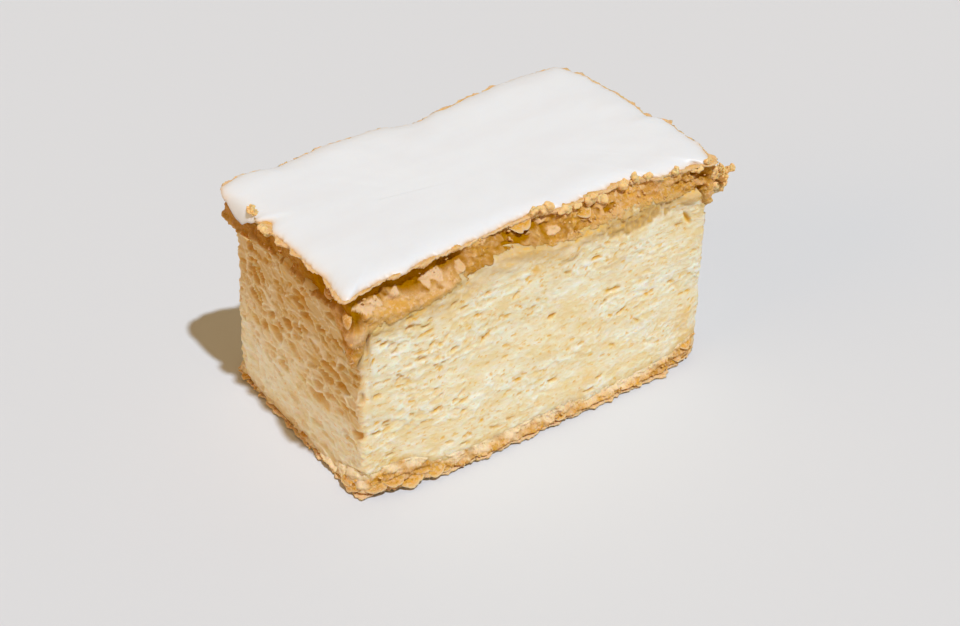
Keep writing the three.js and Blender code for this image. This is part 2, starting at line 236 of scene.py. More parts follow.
# Leaves that stand out from the rest: side, place, span, rise, path, thickness, raggedness, wave, lean, seed
# and how golden they are.
TOP_LEAVES = [
    ("front", -2.0, 7.6, 56.4, [(-2.0, 0.4), (0.4, 0.5), (1.5, -0.9)], 0.35, 0.6, 0.4, 0.5, 309, 1.0),
    ("front", 15.0, 5.2, 54.6, [(-1.4, 0.5), (0.2, 0.4), (0.7, -0.9)], 0.3, 0.6, 0.4, 0.3, 310, 0.9),
    ("left", -29.4, 4.0, 51.6, [(-1.0, 1.0), (0.4, 0.6), (0.9, -1.8)], 0.3, 0.6, 0.4, 0.0, 313, 0.2),
]
BASE_LEAVES = [
    ("front", -49.0, 7.5, 1.6, [(-1.0, 2.4), (0.4, 1.6), (1.3, -0.2)], 0.3, 0.6, 0.35, 0.3, 401, 0.3),
    ("front", -44.6, 6.5, 2.2, [(-0.6, 2.4), (0.4, 1.4), (1.5, 0.2)], 0.3, 0.5, 0.35, 0.4, 402, 0.3),
    ("front", -40.0, 8.0, 1.0, [(-0.6, 1.6), (0.6, 1.1), (2.3, 0.0)], 0.3, 0.5, 0.35, 0.2, 403, 0.9),
    ("front", -33.8, 6.0, 1.2, [(-0.6, 1.8), (0.6, 1.2), (2.0, 0.1)], 0.3, 0.5, 0.35, 0.3, 404, 0.8),
    ("left", -27.0, 7.0, 1.2, [(-0.4, 2.2), (0.4, 1.4), (1.2, -0.3)], 0.3, 0.7, 0.4, 0.0, 406, 0.1),
    ("front", 47.0, 7.0, 4.4, [(-2.0, 1.0), (0.3, 0.8), (1.0, -0.4)], 0.35, 0.7, 0.4, 0.4, 407, 0.8),
]
# Where the top pastry's brim is heaped up at the icing's edge: (side, place, half length, rise).
BRIM_HEAPS = [
    ("front", -46.4, 1.4, -0.3),
    ("front", -38.2, 1.6, 0.5),
    ("front", -30.0, 2.2, 0.4),
    ("front", -21.0, 1.4, 0.8),
    ("front", 3.4, 3.2, 0.7),
    ("front", 11.0, 2.6, 0.6),
    ("front", 18.6, 2.4, 0.6),
    ("front", 26.8, 2.0, 0.6),
    ("front", 32.6, 2.4, 0.6),
    ("front", 42.0, 2.0, 0.5),
    ("front", 47.8, 2.4, 0.4),
    ("left", 7.0, 3.6, 0.5),
]
# Soft lumps of crumb that stand above the icing's edge, fill its hole or stick out at the front's right end:
# (side, place, height, how far in, half length, half depth, half height, how golden).
LUMPS = [
    ("front", 1.6, 58.3, 0.3, 1.6, 1.2, 1.5, 0.7),
    ("front", 5.2, 58.4, 0.4, 1.9, 1.4, 1.9, 0.4),
    ("front", 9.7, 56.9, 0.3, 2.6, 1.2, 1.1, 0.2),
    ("front", 13.4, 57.0, 0.2, 1.7, 1.2, 1.0, 0.1),
    ("front", 17.4, 57.3, 0.1, 1.8, 1.4, 1.9, 0.6),
    ("front", 20.2, 56.4, 0.0, 1.8, 1.4, 1.8, 0.5),
    ("front", 27.2, 57.2, 0.2, 2.0, 1.3, 1.5, 0.6),
    ("front", 31.0, 58.0, 0.3, 1.1, 1.0, 1.6, 0.6),
    ("front", 33.8, 57.5, 0.2, 1.9, 1.1, 1.1, 0.5),
    ("front", 40.9, 58.0, 0.4, 1.1, 0.9, 1.3, 0.5),
    ("front", 47.6, 56.8, 0.0, 2.0, 1.2, 0.9, 0.3),
    ("front", 50.4, 58.2, 0.9, 0.9, 0.8, 1.2, 0.5),
    ("right", -29.4, 53.6, 0.6, 1.8, 1.8, 1.8, 0.6),
    ("right", -29.2, 52.4, -1.6, 1.8, 2.1, 1.9, 1.0),
    ("right", -29.2, 51.2, -3.4, 1.8, 1.9, 1.9, 1.0),
    ("right", -29.4, 52.9, -5.2, 1.2, 1.3, 1.2, 1.0),
    ("right", -29.2, 48.8, -1.0, 1.6, 1.8, 1.9, 0.0),
    ("left", 7.0, 57.2, 0.0, 3.0, 1.2, 0.9, 0.2),
    ("left", 15.6, 58.0, -0.3, 2.6, 1.4, 0.5, 1.0),
    ("right", -29.2, 49.4, -2.8, 2.0, 1.9, 2.4, 1.0),
]
# Heaps of loose crumbs: (side, place, height, how far in, half length, half height, crumbs).
HEAPS = [
    ("front", 3.6, 58.4, 0.2, 2.6, 1.0, 9),
    ("front", 18.4, 57.4, 0.0, 2.4, 0.9, 9),
    ("front", 27.0, 57.4, 0.2, 2.2, 0.8, 7),
    ("front", 33.0, 58.0, 0.2, 2.0, 0.7, 7),
    ("right", -29.6, 53.4, -2.2, 2.0, 1.4, 34),
    ("left", 6.6, 57.0, -0.2, 3.2, 0.8, 20),
    ("left", 15.6, 58.1, -0.3, 2.4, 0.2, 14),
]


# ---- Properties ----
def linear(colour):
    """The linear RGBA of an sRGB hex colour such as "#d9a35a"."""
    parts = [int(colour[i : i + 2], 16) / 255 for i in (1, 3, 5)]
    return (*[p / 12.92 if p <= 0.04045 else ((p + 0.055) / 1.055) ** 2.4 for p in parts], 1.0)


def length(name, description, millimetres):
    return bpy.props.FloatProperty(
        name=name,
        description=description,
        default=millimetres * MM,
        min=0.0,
        unit="LENGTH",
        subtype="DISTANCE",
    )


def colour(name, description, hexadecimal):
    return bpy.props.FloatVectorProperty(
        name=name,
        description=description,
        default=linear(hexadecimal),
        size=4,
        min=0.0,
        max=1.0,
        subtype="COLOR",
    )


class SliceSizes(bpy.types.PropertyGroup):
    long_side: length("Length", "Long side of the cream block", 105.0)
    short_side: length("Width", "Short side of the cream block", 62.4)
    height: length("Height", "Height of the whole slice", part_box("icing")[1].z / MM)
    base_thickness: length("Base", "Thickness of the base pastry", 4.0)
    cream_top: length("Cream top", "Height up to which the knife cut bubbles open", 52.0)
    icing_thickness: length("Icing", "Thickness of the icing at its highest", 1.9)


class SliceColours(bpy.types.PropertyGroup):
    cream: colour("Cream", "Whipped custard cream on a smooth stretch", "#f6e8c6")
    # Painted highlight: this pale colour stands in for light on the cream's ridges, on the walls between the
    # ends' bubbles and on the ends' lower part; it is also the pale end of a random mottle.
    cream_pale: colour("Cream ridges", "Where the cream stands out", "#fbf5e2")
    cream_warm: colour("Cream shadows", "Where the cream lies a little back", "#f3dba6")
    # Painted shade: this golden colour stands in for shade inside the cut bubbles, the slits and the low parts
    # of the relief; it also colours golden flecks and patches and the stain just above the base.
    cream_deep: colour("Cream hollows", "Inside the torn bubbles", "#eeb942")
    # Soaked stain and painted shade: where the pastry soaks into the cream, and painted shade under the top
    # pastry, in the undercut and on the ends' upper part.
    cream_stain_and_shade: colour("Cream, stained", "Where the pastry has soaked into the cream", "#d2ab68")
    pastry: colour("Pastry", "Baked puff pastry on a leaf's face", "#d7a25c")
    # Torn pastry's own colour, and also painted light: the ledge under the recess, pale marks on lit ledges
    # and the base's dim left end.
    pastry_pale: colour("Pastry edges", "Where a leaf is torn", "#ebc698")
    pastry_gold: colour("Pastry, golden", "Where a leaf is moist and lets light in", "#e0a63e")
    # Painted shade: this recess colour stands in for shade under the brim, in sunk zones, in the dark marks
    # and under the base's flare; it also darkens pits in the grain.
    pastry_dark: colour("Pastry, recesses", "Deep between the leaves", "#ad7300")
    # Partly painted light: the lumps and heaps take this paler colour to stand for soft light all over them.
    pastry_crumb: colour("Pastry, loose", "Soft lumps of crumb on the icing's edge", "#fad491")
    icing: colour("Icing", "Set sugar icing", "#e9ebee")
    icing_streak: colour("Icing streaks", "Where the spatula drew the icing thinner", "#e4e3e5")
    icing_thin: colour("Icing, thin", "The icing's thin edge", "#ecc9a2")
    floor: colour("Floor", "The pale floor", "#d8d9dc")


def sizes():
    """The sizes that the user sets, in mm."""
    group = bpy.context.scene.slice_sizes
    return {name: getattr(group, name) / MM for name in SliceSizes.__annotations__}


def colours():
    group = bpy.context.scene.slice_colours
    return {name: tuple(getattr(group, name)) for name in SliceColours.__annotations__}


# ---- Curves and noise over arrays ----
def along(pairs, place):
    """A curve that eases from each (place, value) pair to the next, at an array of places."""
    at, value = np.array(pairs, float).T
    place = np.clip(place, at[0], at[-1])
    k = np.clip(np.searchsorted(at, place, side="right") - 1, 0, len(at) - 2)
    t = (place - at[k]) / (at[k + 1] - at[k])
    return value[k] + (value[k + 1] - value[k]) * t * t * (3 - 2 * t)


def ease(value, low, high):
    t = np.clip((value - low) / (high - low), 0, 1)
    return t * t * (3 - 2 * t)


def mix(a, b, t):
    return a + (b - a) * t


def scaled(points, size, seed):
    """Points whose last axis is x, y, z, as a flat list for a noise with features of about size mm.

    size may be three sizes. Each seed reads the noise at a place of its own.
    """
    seed_step = 13.7
    return (points / np.asarray(size, float) + seed * seed_step).reshape(-1, 3).tolist()


def rough(points, size, seed):
    """Smooth noise between about -1 and 1 at an array of points."""
    return np.array([noise.noise(p) for p in scaled(points, size, seed)]).reshape(points.shape[:-1])


def warped(points, size, seed):
    """Smooth noise along x, y and z at an array of points, to shift a pattern by."""
    return np.stack([rough(points, size, seed + axis) for axis in range(3)], -1)


def nearest(points, size, seed):
    """What noise.voronoi gives for each point: the distances and places of the nearest scattered seeds."""
    return [noise.voronoi(p) for p in scaled(points, size, seed)]


def grains(points, size, seed):
    """Rounded grains packed side by side: up to 1 at the top of each, and 0 between them."""
    grain_radius = 0.75
    near = np.array([distances[0] for distances, _ in nearest(points, size, seed)])
    return np.clip(1 - near / grain_radius, 0, 1).reshape(points.shape[:-1])


def bubbles(points, size, seed):
    """Cells side by side: how far in from its cell's wall each point is, and its cell's own 0 to 1."""
    found = nearest(points, size, seed)
    inside = np.array([distances[1] - distances[0] for distances, _ in found])
    chance = np.array([noise.cell(places[0] * 5.3) for _, places in found]) / 2 + 0.5
    return inside.reshape(points.shape[:-1]), chance.reshape(points.shape[:-1])


def tilted(points, axis, slope):
    """The points with the other level axis turned by slope radians, so that noise can run along a slope."""
    level = points[..., 1 - axis]
    height = points[..., 2]
    turned = points.copy()
    turned[..., 1 - axis] = level * math.cos(slope) + height * math.sin(slope)
    turned[..., 2] = height * math.cos(slope) - level * math.sin(slope)
    return turned


# ---- The block's outline ----
class Outline:
    """Points round the block, anticlockwise from the front's left end, with the way out at each.

    front, right, back and left are how many steps each side takes, and each corner takes a few more. place is
    the distance round in mm.
    """

    def __init__(self, front, right, back, left, corner=6):
        size = sizes()
        self.half = np.array([size["long_side"], size["short_side"]]) / 2
        inner = self.half - CORNER_RADIUS
        starts = [(-1, -1), (1, -1), (1, 1), (-1, 1)]
        points, ways, self.starts = [], [], []
        for side, steps in enumerate((front, right, back, left)):
            begin = np.array(starts[side]) * inner
            finish = np.array(starts[(side + 1) % 4]) * inner
            out = np.array([(0, -1), (1, 0), (0, 1), (-1, 0)][side], float)
            self.starts.append(len(points))
            for k in range(steps):
                points.append(mix(begin, finish, k / steps) + out * CORNER_RADIUS)
                ways.append(out)
            for k in range(corner):
                turn = math.pi / 2 * (side - 1 + k / corner)
                way = np.array([math.cos(turn), math.sin(turn)])
                points.append(finish + way * CORNER_RADIUS)
                ways.append(way)
        points.append(points[0])
        ways.append(ways[0])
        self.x, self.y = np.array(points).T
        self.out = np.array(ways)
        self.place = np.concatenate([[0], np.cumsum(np.hypot(np.diff(self.x), np.diff(self.y)))])
        self.steps = len(points) - 1

    def reach(self, sides):
        """How far each point moves in x and y for what a layer's sides reach out."""
        u = np.clip((self.x / self.half[0] + 1) / 2, 0, 1)
        v = np.clip((self.y / self.half[1] + 1) / 2, 0, 1)
        across = mix(-along(sides["left"], self.y), along(sides["right"], self.y), u)
        through = mix(-along(sides["front"], self.x), along(sides["back"], self.x), v)
        return np.stack([across, through], -1)

    def where(self, side, spot):
        """The place round the block of a spot on a side: an x on the front or back, a y on the others."""
        number = SIDES.index(side)
        begin = self.place[self.starts[number]]
        inner = self.half - CORNER_RADIUS
        return begin + [spot + inner[0], spot + inner[1], inner[0] - spot, inner[1] - spot][number]

    def spread(self, sides):
        """A value at each point, eased between the (spot, value) pairs of the sides."""
        whole = self.place[-1]
        pairs = sorted(
            (self.where(side, spot) % whole, value) for side in sides for spot, value in sides[side]
        )
        before, after = (pairs[-1][0] - whole, pairs[-1][1]), (pairs[0][0] + whole, pairs[0][1])
        return along([before, *pairs, after], self.place)

    def value(self, values, place):
        """One number from a list of values at the points, at a place between them."""
        return float(np.interp(place, self.place, values))


class Layer:
    """The side of one layer: where its face is, at any place round the slice and any height.

    The face goes from the foot's sides to the head's between two shares of its height, slope_foot and
    slope_head.
    """

    def __init__(self, outline, foot, head, bottom, top, slope_foot=0.0, slope_head=1.0):
        self.outline = outline
        level = np.zeros(outline.steps + 1)
        rows = [outline.x, outline.y, *outline.out.T, *outline.reach(foot).T, *head.T]
        self.table = rows + [bottom + level, top + level, slope_foot + level, slope_head + level]

    def read(self, place):
        place = np.mod(place, self.outline.place[-1])
        return [np.interp(place, self.outline.place, row) for row in self.table]

    def at(self, place, height, out=0.0):
        """Points on the face, or out from it by a distance."""
        x, y, out_x, out_y, foot_x, foot_y, head_x, head_y, bottom, top, begin, end = self.read(place)
        blend = ease((height - bottom) / (top - bottom), begin, end)
        return np.stack(
            [
                x + mix(foot_x, head_x, blend) + out_x * out + BLOCK_MIDDLE[0],
                y + mix(foot_y, head_y, blend) + out_y * out + BLOCK_MIDDLE[1],
                height + 0 * blend,
            ],
            -1,
        )

    def face(self, rows):
        """A net of places and heights over the whole side, with the share of the height of each row."""
        share = np.linspace(0, 1, rows + 1)[:, None]
        bottom, top = self.table[8:10]
        height = mix(bottom, top, share)
        return np.broadcast_to(self.outline.place, height.shape), height, share

    def stand(self, place):
        """A place's axes as rows: along the side, out and up, right-handed so that faces stay turned out."""
        out = np.array([*self.read(place)[2:4], 0.0])
        return np.array([[out[1], -out[0], 0.0], out, [0.0, 0.0, 1.0]])


def layer_edge(outline, sides, height):
    """A ring of points at one height, where a layer's sides reach to."""
    level = np.stack([outline.x, outline.y], -1) + outline.reach(sides) + BLOCK_MIDDLE
    return np.concatenate([level, np.full((len(level), 1), height)], -1)


def drawn_in(outline, ring, inward):
    """The level coordinates of a ring, drawn in towards the slice's middle by a distance."""
    return BLOCK_MIDDLE + (ring[..., :2] - BLOCK_MIDDLE) * (1 - inward / outline.half)


def capped(outline, net, low, high):
    """A side's net with flat rings added inside its lower and upper edges, so that both close flat."""
    rings, inset = [], 12.0
    for edge, height in ((net[0], low), (net[-1], high)):
        flat = drawn_in(outline, edge, inset)
        rings.append(np.concatenate([flat, np.full((len(flat), 1), height)], -1))
    return np.concatenate([rings[:1], net, rings[1:]])


def edged(values):
    """A net's values with their first and last rows repeated for the rings that capped adds."""
    return {key: np.concatenate([grid[:1], grid, grid[-1:]]) for key, grid in values.items()}


# ---- Meshes ----
def add_object(name, data):
    """An object in the scene for a mesh, a lamp or a camera."""
    made = bpy.data.objects.new(name, data)
    bpy.context.scene.collection.objects.link(made)
    return made


def mesh_from(name, bm):
    """A mesh from a bmesh, which is freed."""
    mesh = bpy.data.meshes.new(name)
    bm.to_mesh(mesh)
    bm.free()
    return mesh


def lay_nets(name, nets, material, sharp=None):
    """One piece of closed skins, each laid from a net of points, (rows, columns, 3) in mm, with its values.

    Columns or rows that meet are merged, and what stays open is filled. Each net's values, such as how torn a
    leaf is, are kept as attributes for the material.
    """
    touching = 1e-4
    bm = bmesh.new()
    keys = {key: bm.verts.layers.float.new(key) for key in nets[0][1]}
    for points, values in nets:
        rows, columns = points.shape[0] - 1, points.shape[1] - 1
        made = bmesh.ops.create_grid(bm, x_segments=columns, y_segments=rows, size=1.0)["verts"]
        for vertex, spot in zip(made, points.reshape(-1, 3).tolist()):
            vertex.co = spot
        for key, layer in keys.items():
            for vertex, value in zip(made, np.broadcast_to(values[key], points.shape[:2]).ravel().tolist()):
                vertex[layer] = value
    bmesh.ops.remove_doubles(bm, verts=bm.verts[:], dist=touching)
    open_edges = [edge for edge in bm.edges if edge.is_boundary]
    if open_edges:
        bmesh.ops.holes_fill(bm, edges=open_edges, sides=0)
    bmesh.ops.recalc_face_normals(bm, faces=bm.faces[:])
    return ride_body(name, mesh_from(name, bm), material, sharp)


def ride_body(name, mesh, material, sharp=None):
    """An object from a mesh in mm, at its place in the frame, riding on the body."""
    mesh.transform(Matrix.Scale(MM, 4))
    mesh.materials.append(material)
    mesh.shade_smooth()
    if sharp:
        mesh.set_sharp_from_angle(angle=math.radians(sharp))
    piece = add_object(name, mesh)
    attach(piece, BODY)
    return piece


def scatter(name, shapes, spots, material, sharp=None, **values):
    """One piece of many small closed shapes. spots is a list of (shape number, middle, 3x3 matrix) in mm.

    values are attributes for the material that are the same all over the piece.
    """
    corners, faces, torn, count = [], [], [], 0
    for number, middle, turn in spots:
        vertices, loops, edge = shapes[number % len(shapes)]
        corners.append(vertices @ turn + middle)
        faces.extend([[corner + count for corner in loop] for loop in loops])
        torn.append(edge)
        count += len(vertices)
    mesh = bpy.data.meshes.new(name)
    mesh.from_pydata(np.concatenate(corners).tolist(), [], faces)
    mesh.attributes.new("torn", "FLOAT", "POINT").data.foreach_set("value", np.concatenate(torn))
    for key, value in values.items():
        mesh.attributes.new(key, "FLOAT", "POINT").data.foreach_set("value", np.full(count, value))
    return ride_body(name, mesh, material, sharp)


def shape_arrays(bm, edge):
    """A bmesh as the arrays that scatter takes. edge gives how torn a vertex looks."""
    bmesh.ops.recalc_face_normals(bm, faces=bm.faces[:])
    bm.verts.index_update()
    vertices = np.array([vertex.co[:] for vertex in bm.verts])
    loops = [[vertex.index for vertex in face.verts] for face in bm.faces]
    torn = np.array([edge(vertex.co) for vertex in bm.verts])
    bm.free()
    return vertices, loops, torn


def flake_shape(draw):
    """A flake of pastry about 1 across: a thin, bent, torn disc."""
    bm = bmesh.new()
    bmesh.ops.create_circle(bm, cap_ends=True, segments=9, radius=0.5)
    bmesh.ops.inset_individual(bm, faces=bm.faces[:], thickness=0.16)
    squeeze = draw.uniform(0.45, 0.85)
    bend, twist = draw.uniform(-0.5, 0.5), draw.uniform(-0.4, 0.4)
    for vertex in bm.verts:
        stretch = draw.uniform(0.55, 1.35) if vertex.co.length > 0.4 else draw.uniform(0.8, 1.1)
        x, y = vertex.co.x * stretch, vertex.co.y * stretch * squeeze
        vertex.co = (x, y, bend * x * x + twist * x * y + draw.uniform(-0.03, 0.03))
    bmesh.ops.solidify(bm, geom=bm.faces[:], thickness=draw.uniform(0.09, 0.15))
    return shape_arrays(bm, lambda spot: float(ease(spot.xy.length, 0.3, 0.5)))


def crumb_shape(draw):
    """A crumb of pastry about 1 across: a lump with torn corners."""
    bm = bmesh.new()
    bmesh.ops.create_icosphere(bm, subdivisions=1, radius=0.5)
    seed = Vector([draw.uniform(0, 50) for _ in range(3)])
    for vertex in bm.verts:
        lump = noise.noise(vertex.co * 2.2 + seed) + 0.5 * noise.noise(vertex.co * 5 + seed)
        vertex.co *= 1 + 0.6 * lump
    return shape_arrays(bm, lambda spot: 0.7 * float(ease(spot.length, 0.4, 0.65)))


def any_turn(draw):
    """A matrix that turns a small shape at random."""
    angles = [draw.uniform(-math.pi, math.pi) for _ in range(3)]
    return np.array(Euler(angles).to_matrix())


def heap(draw, layer, middle, height, inward, long, tall, count):
    """Crumbs heaped on a layer's side round a place, the largest in the middle."""
    spots = []
    for _ in range(count):
        across, up = draw.gauss(0, 0.5), draw.gauss(0, 0.5)
        wide = mix(1.7, 0.6, min(math.hypot(across, up), 1)) * draw.uniform(0.7, 1.2)
        spot = layer.at(middle + across * long, height + up * tall, -inward + draw.gauss(0, 0.4))
        spots.append((draw.randrange(100), spot, wide * any_turn(draw)))
    return spots


# ---- Materials ----
def add(tree, kind, inputs=None, stops=None, **settings):
    """Adds a shader node with its settings and links.

    inputs are values or sockets by name or number, and stops are a ramp's (place, colour).
    """
    node = tree.nodes.new("ShaderNode" + kind)
    for key, value in settings.items():
        setattr(node, key, value)
    for key, value in (inputs or {}).items():
        if isinstance(value, bpy.types.NodeSocket):
            tree.links.new(value, node.inputs[key])
        else:
            node.inputs[key].default_value = value
    for number, (place, shade) in enumerate(stops or []):
        elements = node.color_ramp.elements
        element = elements[number] if number < len(elements) else elements.new(place)
        element.position = place
        element.color = shade
    return node


def new_material(name):
    material = bpy.data.materials.new(name)
    material.use_nodes = True
    material.node_tree.nodes.clear()
    return material, material.node_tree


def per_mm(size):
    """The scale of a pattern whose features are about size mm, on object coordinates in metres."""
    return 1 / (size * MM)


def whipped_cream():
    """Whipped custard cream, cut with a knife: moist, full of fine bubbles, and soft in the light."""
    tone = colours()
    material, tree = new_material("whipped_custard_cream")
    hollow, proud, stained = (
        add(tree, "Attribute", attribute_name=name).outputs["Fac"] for name in ("hollow", "proud", "stained")
    )
    where = add(tree, "TexCoord").outputs["Object"]
    # The knife drew the cream along the slice, a little upwards.
    drawn = add(tree, "Mapping", {"Vector": where, "Rotation": (0, 0.16, 0), "Scale": (1, 1, 2.4)}).outputs[0]
    broad, flecks, fine, mottle = (
        add(
            tree,
            "TexNoise",
            {"Vector": drawn, "Scale": per_mm(size), "Detail": detail, "Roughness": roughness},
        ).outputs["Fac"]
        for size, detail, roughness in ((9, 2.0, 0.5), (1.5, 2.0, 0.5), (0.9, 2.0, 0.5), (2.4, 4.0, 0.6))
    )
    # Painted shade and highlight: the ramp goes from the shadow colour where the cream lies back to the pale
    # colour on its ridges, over a random mottle.
    both = add(tree, "Math", {0: mottle, 1: broad}, operation="ADD").outputs[0]
    lifted = add(tree, "Math", {0: proud, 1: 0.34, 2: both}, operation="MULTIPLY_ADD").outputs[0]
    level = add(tree, "MapRange", {0: lifted, 1: 0.86, 2: 1.42}).outputs[0]
    base = add(
        tree,
        "ValToRGB",
        {"Fac": level},
        stops=[(0.0, tone["cream_warm"]), (0.45, tone["cream"]), (1.0, tone["cream_pale"])],
    ).outputs[0]
    # The stain colour is laid over the base: soaked stain, and painted shade under the pastry.
    soaked = add(tree, "Mix", {0: stained, 6: base, 7: tone["cream_stain_and_shade"]}, data_type="RGBA").outputs[2]
    # Painted shade: the hollow colour is laid in the cut bubbles, the slits and the low relief, along with
    # random golden flecks.
    fleck = add(tree, "MapRange", {0: flecks, 1: 0.6, 2: 0.72, 3: 0.0, 4: 0.6}).outputs[0]
    depth = add(tree, "Math", {0: fleck, 1: hollow}, operation="MAXIMUM").outputs[0]
    shade = add(tree, "Mix", {0: depth, 6: soaked, 7: tone["cream_deep"]}, data_type="RGBA").outputs[2]
    grain = add(tree, "Math", {0: fine, 1: mottle}, operation="ADD").outputs[0]
    bump = add(tree, "Bump", {"Strength": 0.35, "Distance": 0.4 * MM, "Height": grain}).outputs[0]
    shader = add(
        tree,
        "BsdfPrincipled",
        {
            "Base Color": shade,
            "Roughness": 0.45,
            "IOR": 1.4,
            "Specular IOR Level": 0.25,
            "Subsurface Weight": 0.7,
            "Subsurface Radius": (1.0, 0.78, 0.4),
            "Subsurface Scale": 1.4 * MM,
            "Normal": bump,
        },
    )
    add(tree, "OutputMaterial", {"Surface": shader.outputs[0]})
    return material


def puff_pastry():
    """Baked puff pastry: dry tan leaves, pale where torn, golden where moist and painted dark as shade in a
    recess.
    """
    tone = colours()
    material, tree = new_material("baked_puff_pastry")
    torn, dark, moist, golden, stained, soft, loose = (
        add(tree, "Attribute", attribute_name=name).outputs["Fac"]
        for name in ("torn", "dark", "moist", "golden", "stained", "soft", "loose")
    )
    where = add(tree, "TexCoord").outputs["Object"]
    blotches, crumb, fine = (
        add(
            tree,
            "TexNoise",
            {"Vector": where, "Scale": per_mm(size), "Detail": detail, "Roughness": roughness},
        ).outputs["Fac"]
        for size, detail, roughness in ((5, 3.0, 0.6), (1.0, 4.0, 0.65), (0.7, 3.0, 0.6))
    )
    # A torn edge and a soft lump have no dark pits in them.
    blotch = add(tree, "MapRange", {0: blotches, 1: 0.62, 2: 0.38}).outputs[0]
    speck = add(tree, "MapRange", {0: crumb, 1: 0.48, 2: 0.62, 3: 0.0, 4: 0.75}).outputs[0]
    pit = add(tree, "MapRange", {0: fine, 1: 0.47, 2: 0.34, 3: 0.0, 4: 0.55}).outputs[0]
    bake = add(tree, "Math", {0: blotch, 1: golden}, operation="MAXIMUM").outputs[0]
    worn = add(tree, "Math", {0: torn, 1: speck}, operation="MAXIMUM").outputs[0]
    whole = add(tree, "Math", {0: worn, 1: soft}, operation="MAXIMUM").outputs[0]
    pitted = add(tree, "Math", {0: whole, 1: -0.7, 2: pit}, operation="MULTIPLY_ADD").outputs[0]
    # deep joins the painted shade of the recesses with the grain's pits.
    deep = add(tree, "Math", {0: dark, 1: pitted}, operation="MAXIMUM").outputs[0]
    # Each share lays its colour over what lies under it.
    shade = tone["pastry"]
    for share, name in (
        (bake, "pastry_gold"),
        (worn, "pastry_pale"),
        (moist, "cream"),
        (stained, "cream_stain_and_shade"),
        (deep, "pastry_dark"),
        (loose, "pastry_crumb"),
    ):
        shade = add(tree, "Mix", {0: share, 6: shade, 7: tone[name]}, data_type="RGBA").outputs[2]
    grain = add(tree, "Math", {0: crumb, 1: fine}, operation="ADD").outputs[0]
    # A soft lump is smoother, and light goes less far into it.
    firm = add(tree, "Math", {0: soft, 1: -0.6, 2: 0.9}, operation="MULTIPLY_ADD").outputs[0]
    reach = add(tree, "Math", {0: soft, 1: -0.35 * MM, 2: 0.6 * MM}, operation="MULTIPLY_ADD").outputs[0]
    gloss = add(tree, "Math", {0: deep, 1: -0.2, 2: 0.2}, operation="MULTIPLY_ADD").outputs[0]
    bump = add(tree, "Bump", {"Strength": firm, "Distance": 0.4 * MM, "Height": grain}).outputs[0]
    shader = add(
        tree,
        "BsdfPrincipled",
        {
            "Base Color": shade,
            "Roughness": 0.6,
            "IOR": 1.45,
            "Specular IOR Level": gloss,
            "Subsurface Weight": 0.45,
            "Subsurface Radius": (1.0, 0.65, 0.25),
            "Subsurface Scale": reach,
            "Normal": bump,
        },
    )
    add(tree, "OutputMaterial", {"Surface": shader.outputs[0]})
    return material


def sugar_icing():
    """Poured sugar icing, set: smooth and satin, with light that goes a little way in at its thin edge."""
    tone = colours()
    material, tree = new_material("set_sugar_icing")
    where = add(tree, "TexCoord").outputs["Object"]
    drawn = add(tree, "Mapping", {"Vector": where, "Scale": (1, 3, 1), "Rotation": (0, 0, 0.12)}).outputs[0]
    streaks = add(tree, "TexNoise", {"Vector": drawn, "Scale": per_mm(22), "Detail": 3.0}).outputs["Fac"]
    ripple = add(tree, "TexNoise", {"Vector": where, "Scale": per_mm(9), "Detail": 2.0}).outputs["Fac"]
    thin = add(tree, "Attribute", attribute_name="thin").outputs["Fac"]
    streak = add(tree, "MapRange", {0: streaks, 1: 0.4, 2: 0.65, 3: 0.0, 4: 0.35}).outputs[0]
    shade = tone["icing"]
    for share, name in ((streak, "icing_streak"), (thin, "icing_thin")):
        shade = add(tree, "Mix", {0: share, 6: shade, 7: tone[name]}, data_type="RGBA").outputs[2]
    bump = add(tree, "Bump", {"Strength": 0.25, "Distance": 0.4 * MM, "Height": ripple}).outputs[0]
    shader = add(
        tree,
        "BsdfPrincipled",
        {
            "Base Color": shade,
            "Roughness": 0.42,
            "IOR": 1.45,
            "Subsurface Weight": 0.3,
            "Subsurface Radius": (1.0, 0.9, 0.8),
            "Subsurface Scale": 1.0 * MM,
            "Normal": bump,
        },
    )
    add(tree, "OutputMaterial", {"Surface": shader.outputs[0]})
    return material


def matt_board():
    """Coated white board: a plain pale floor."""
    material, tree = new_material("coated_board")
    shader = add(tree, "BsdfPrincipled", {"Base Color": colours()["floor"], "Roughness": 0.7})
    add(tree, "OutputMaterial", {"Surface": shader.outputs[0]})
    return material


# ---- Cream ----
# Bubbles that the knife cut open, at random: (how many, half length, half height, depth, how golden, slant,
# how much they crowd upwards), with the least and the most of each that varies. The sides' ones are all over
# the front and back, and the corner's are near the top between two places on the front.
# A bubble's gold is painted shade on its floor.
SIDE_BUBBLES = [
    (170, (0.7, 1.9), (0.3, 0.52), (0.15, 0.5), (0.7, 1.0), 0.0, 0.3),
    (380, (0.4, 0.9), (0.22, 0.34), (0.08, 0.2), (0.3, 0.8), 0.0, 0.3),
]
CORNER_BUBBLES = (60, (0.7, 1.7), (0.3, 0.6), (0.3, 0.8), (0.45, 0.7), 0.2, 0.98)
CORNER_SPAN = (-46, -24)
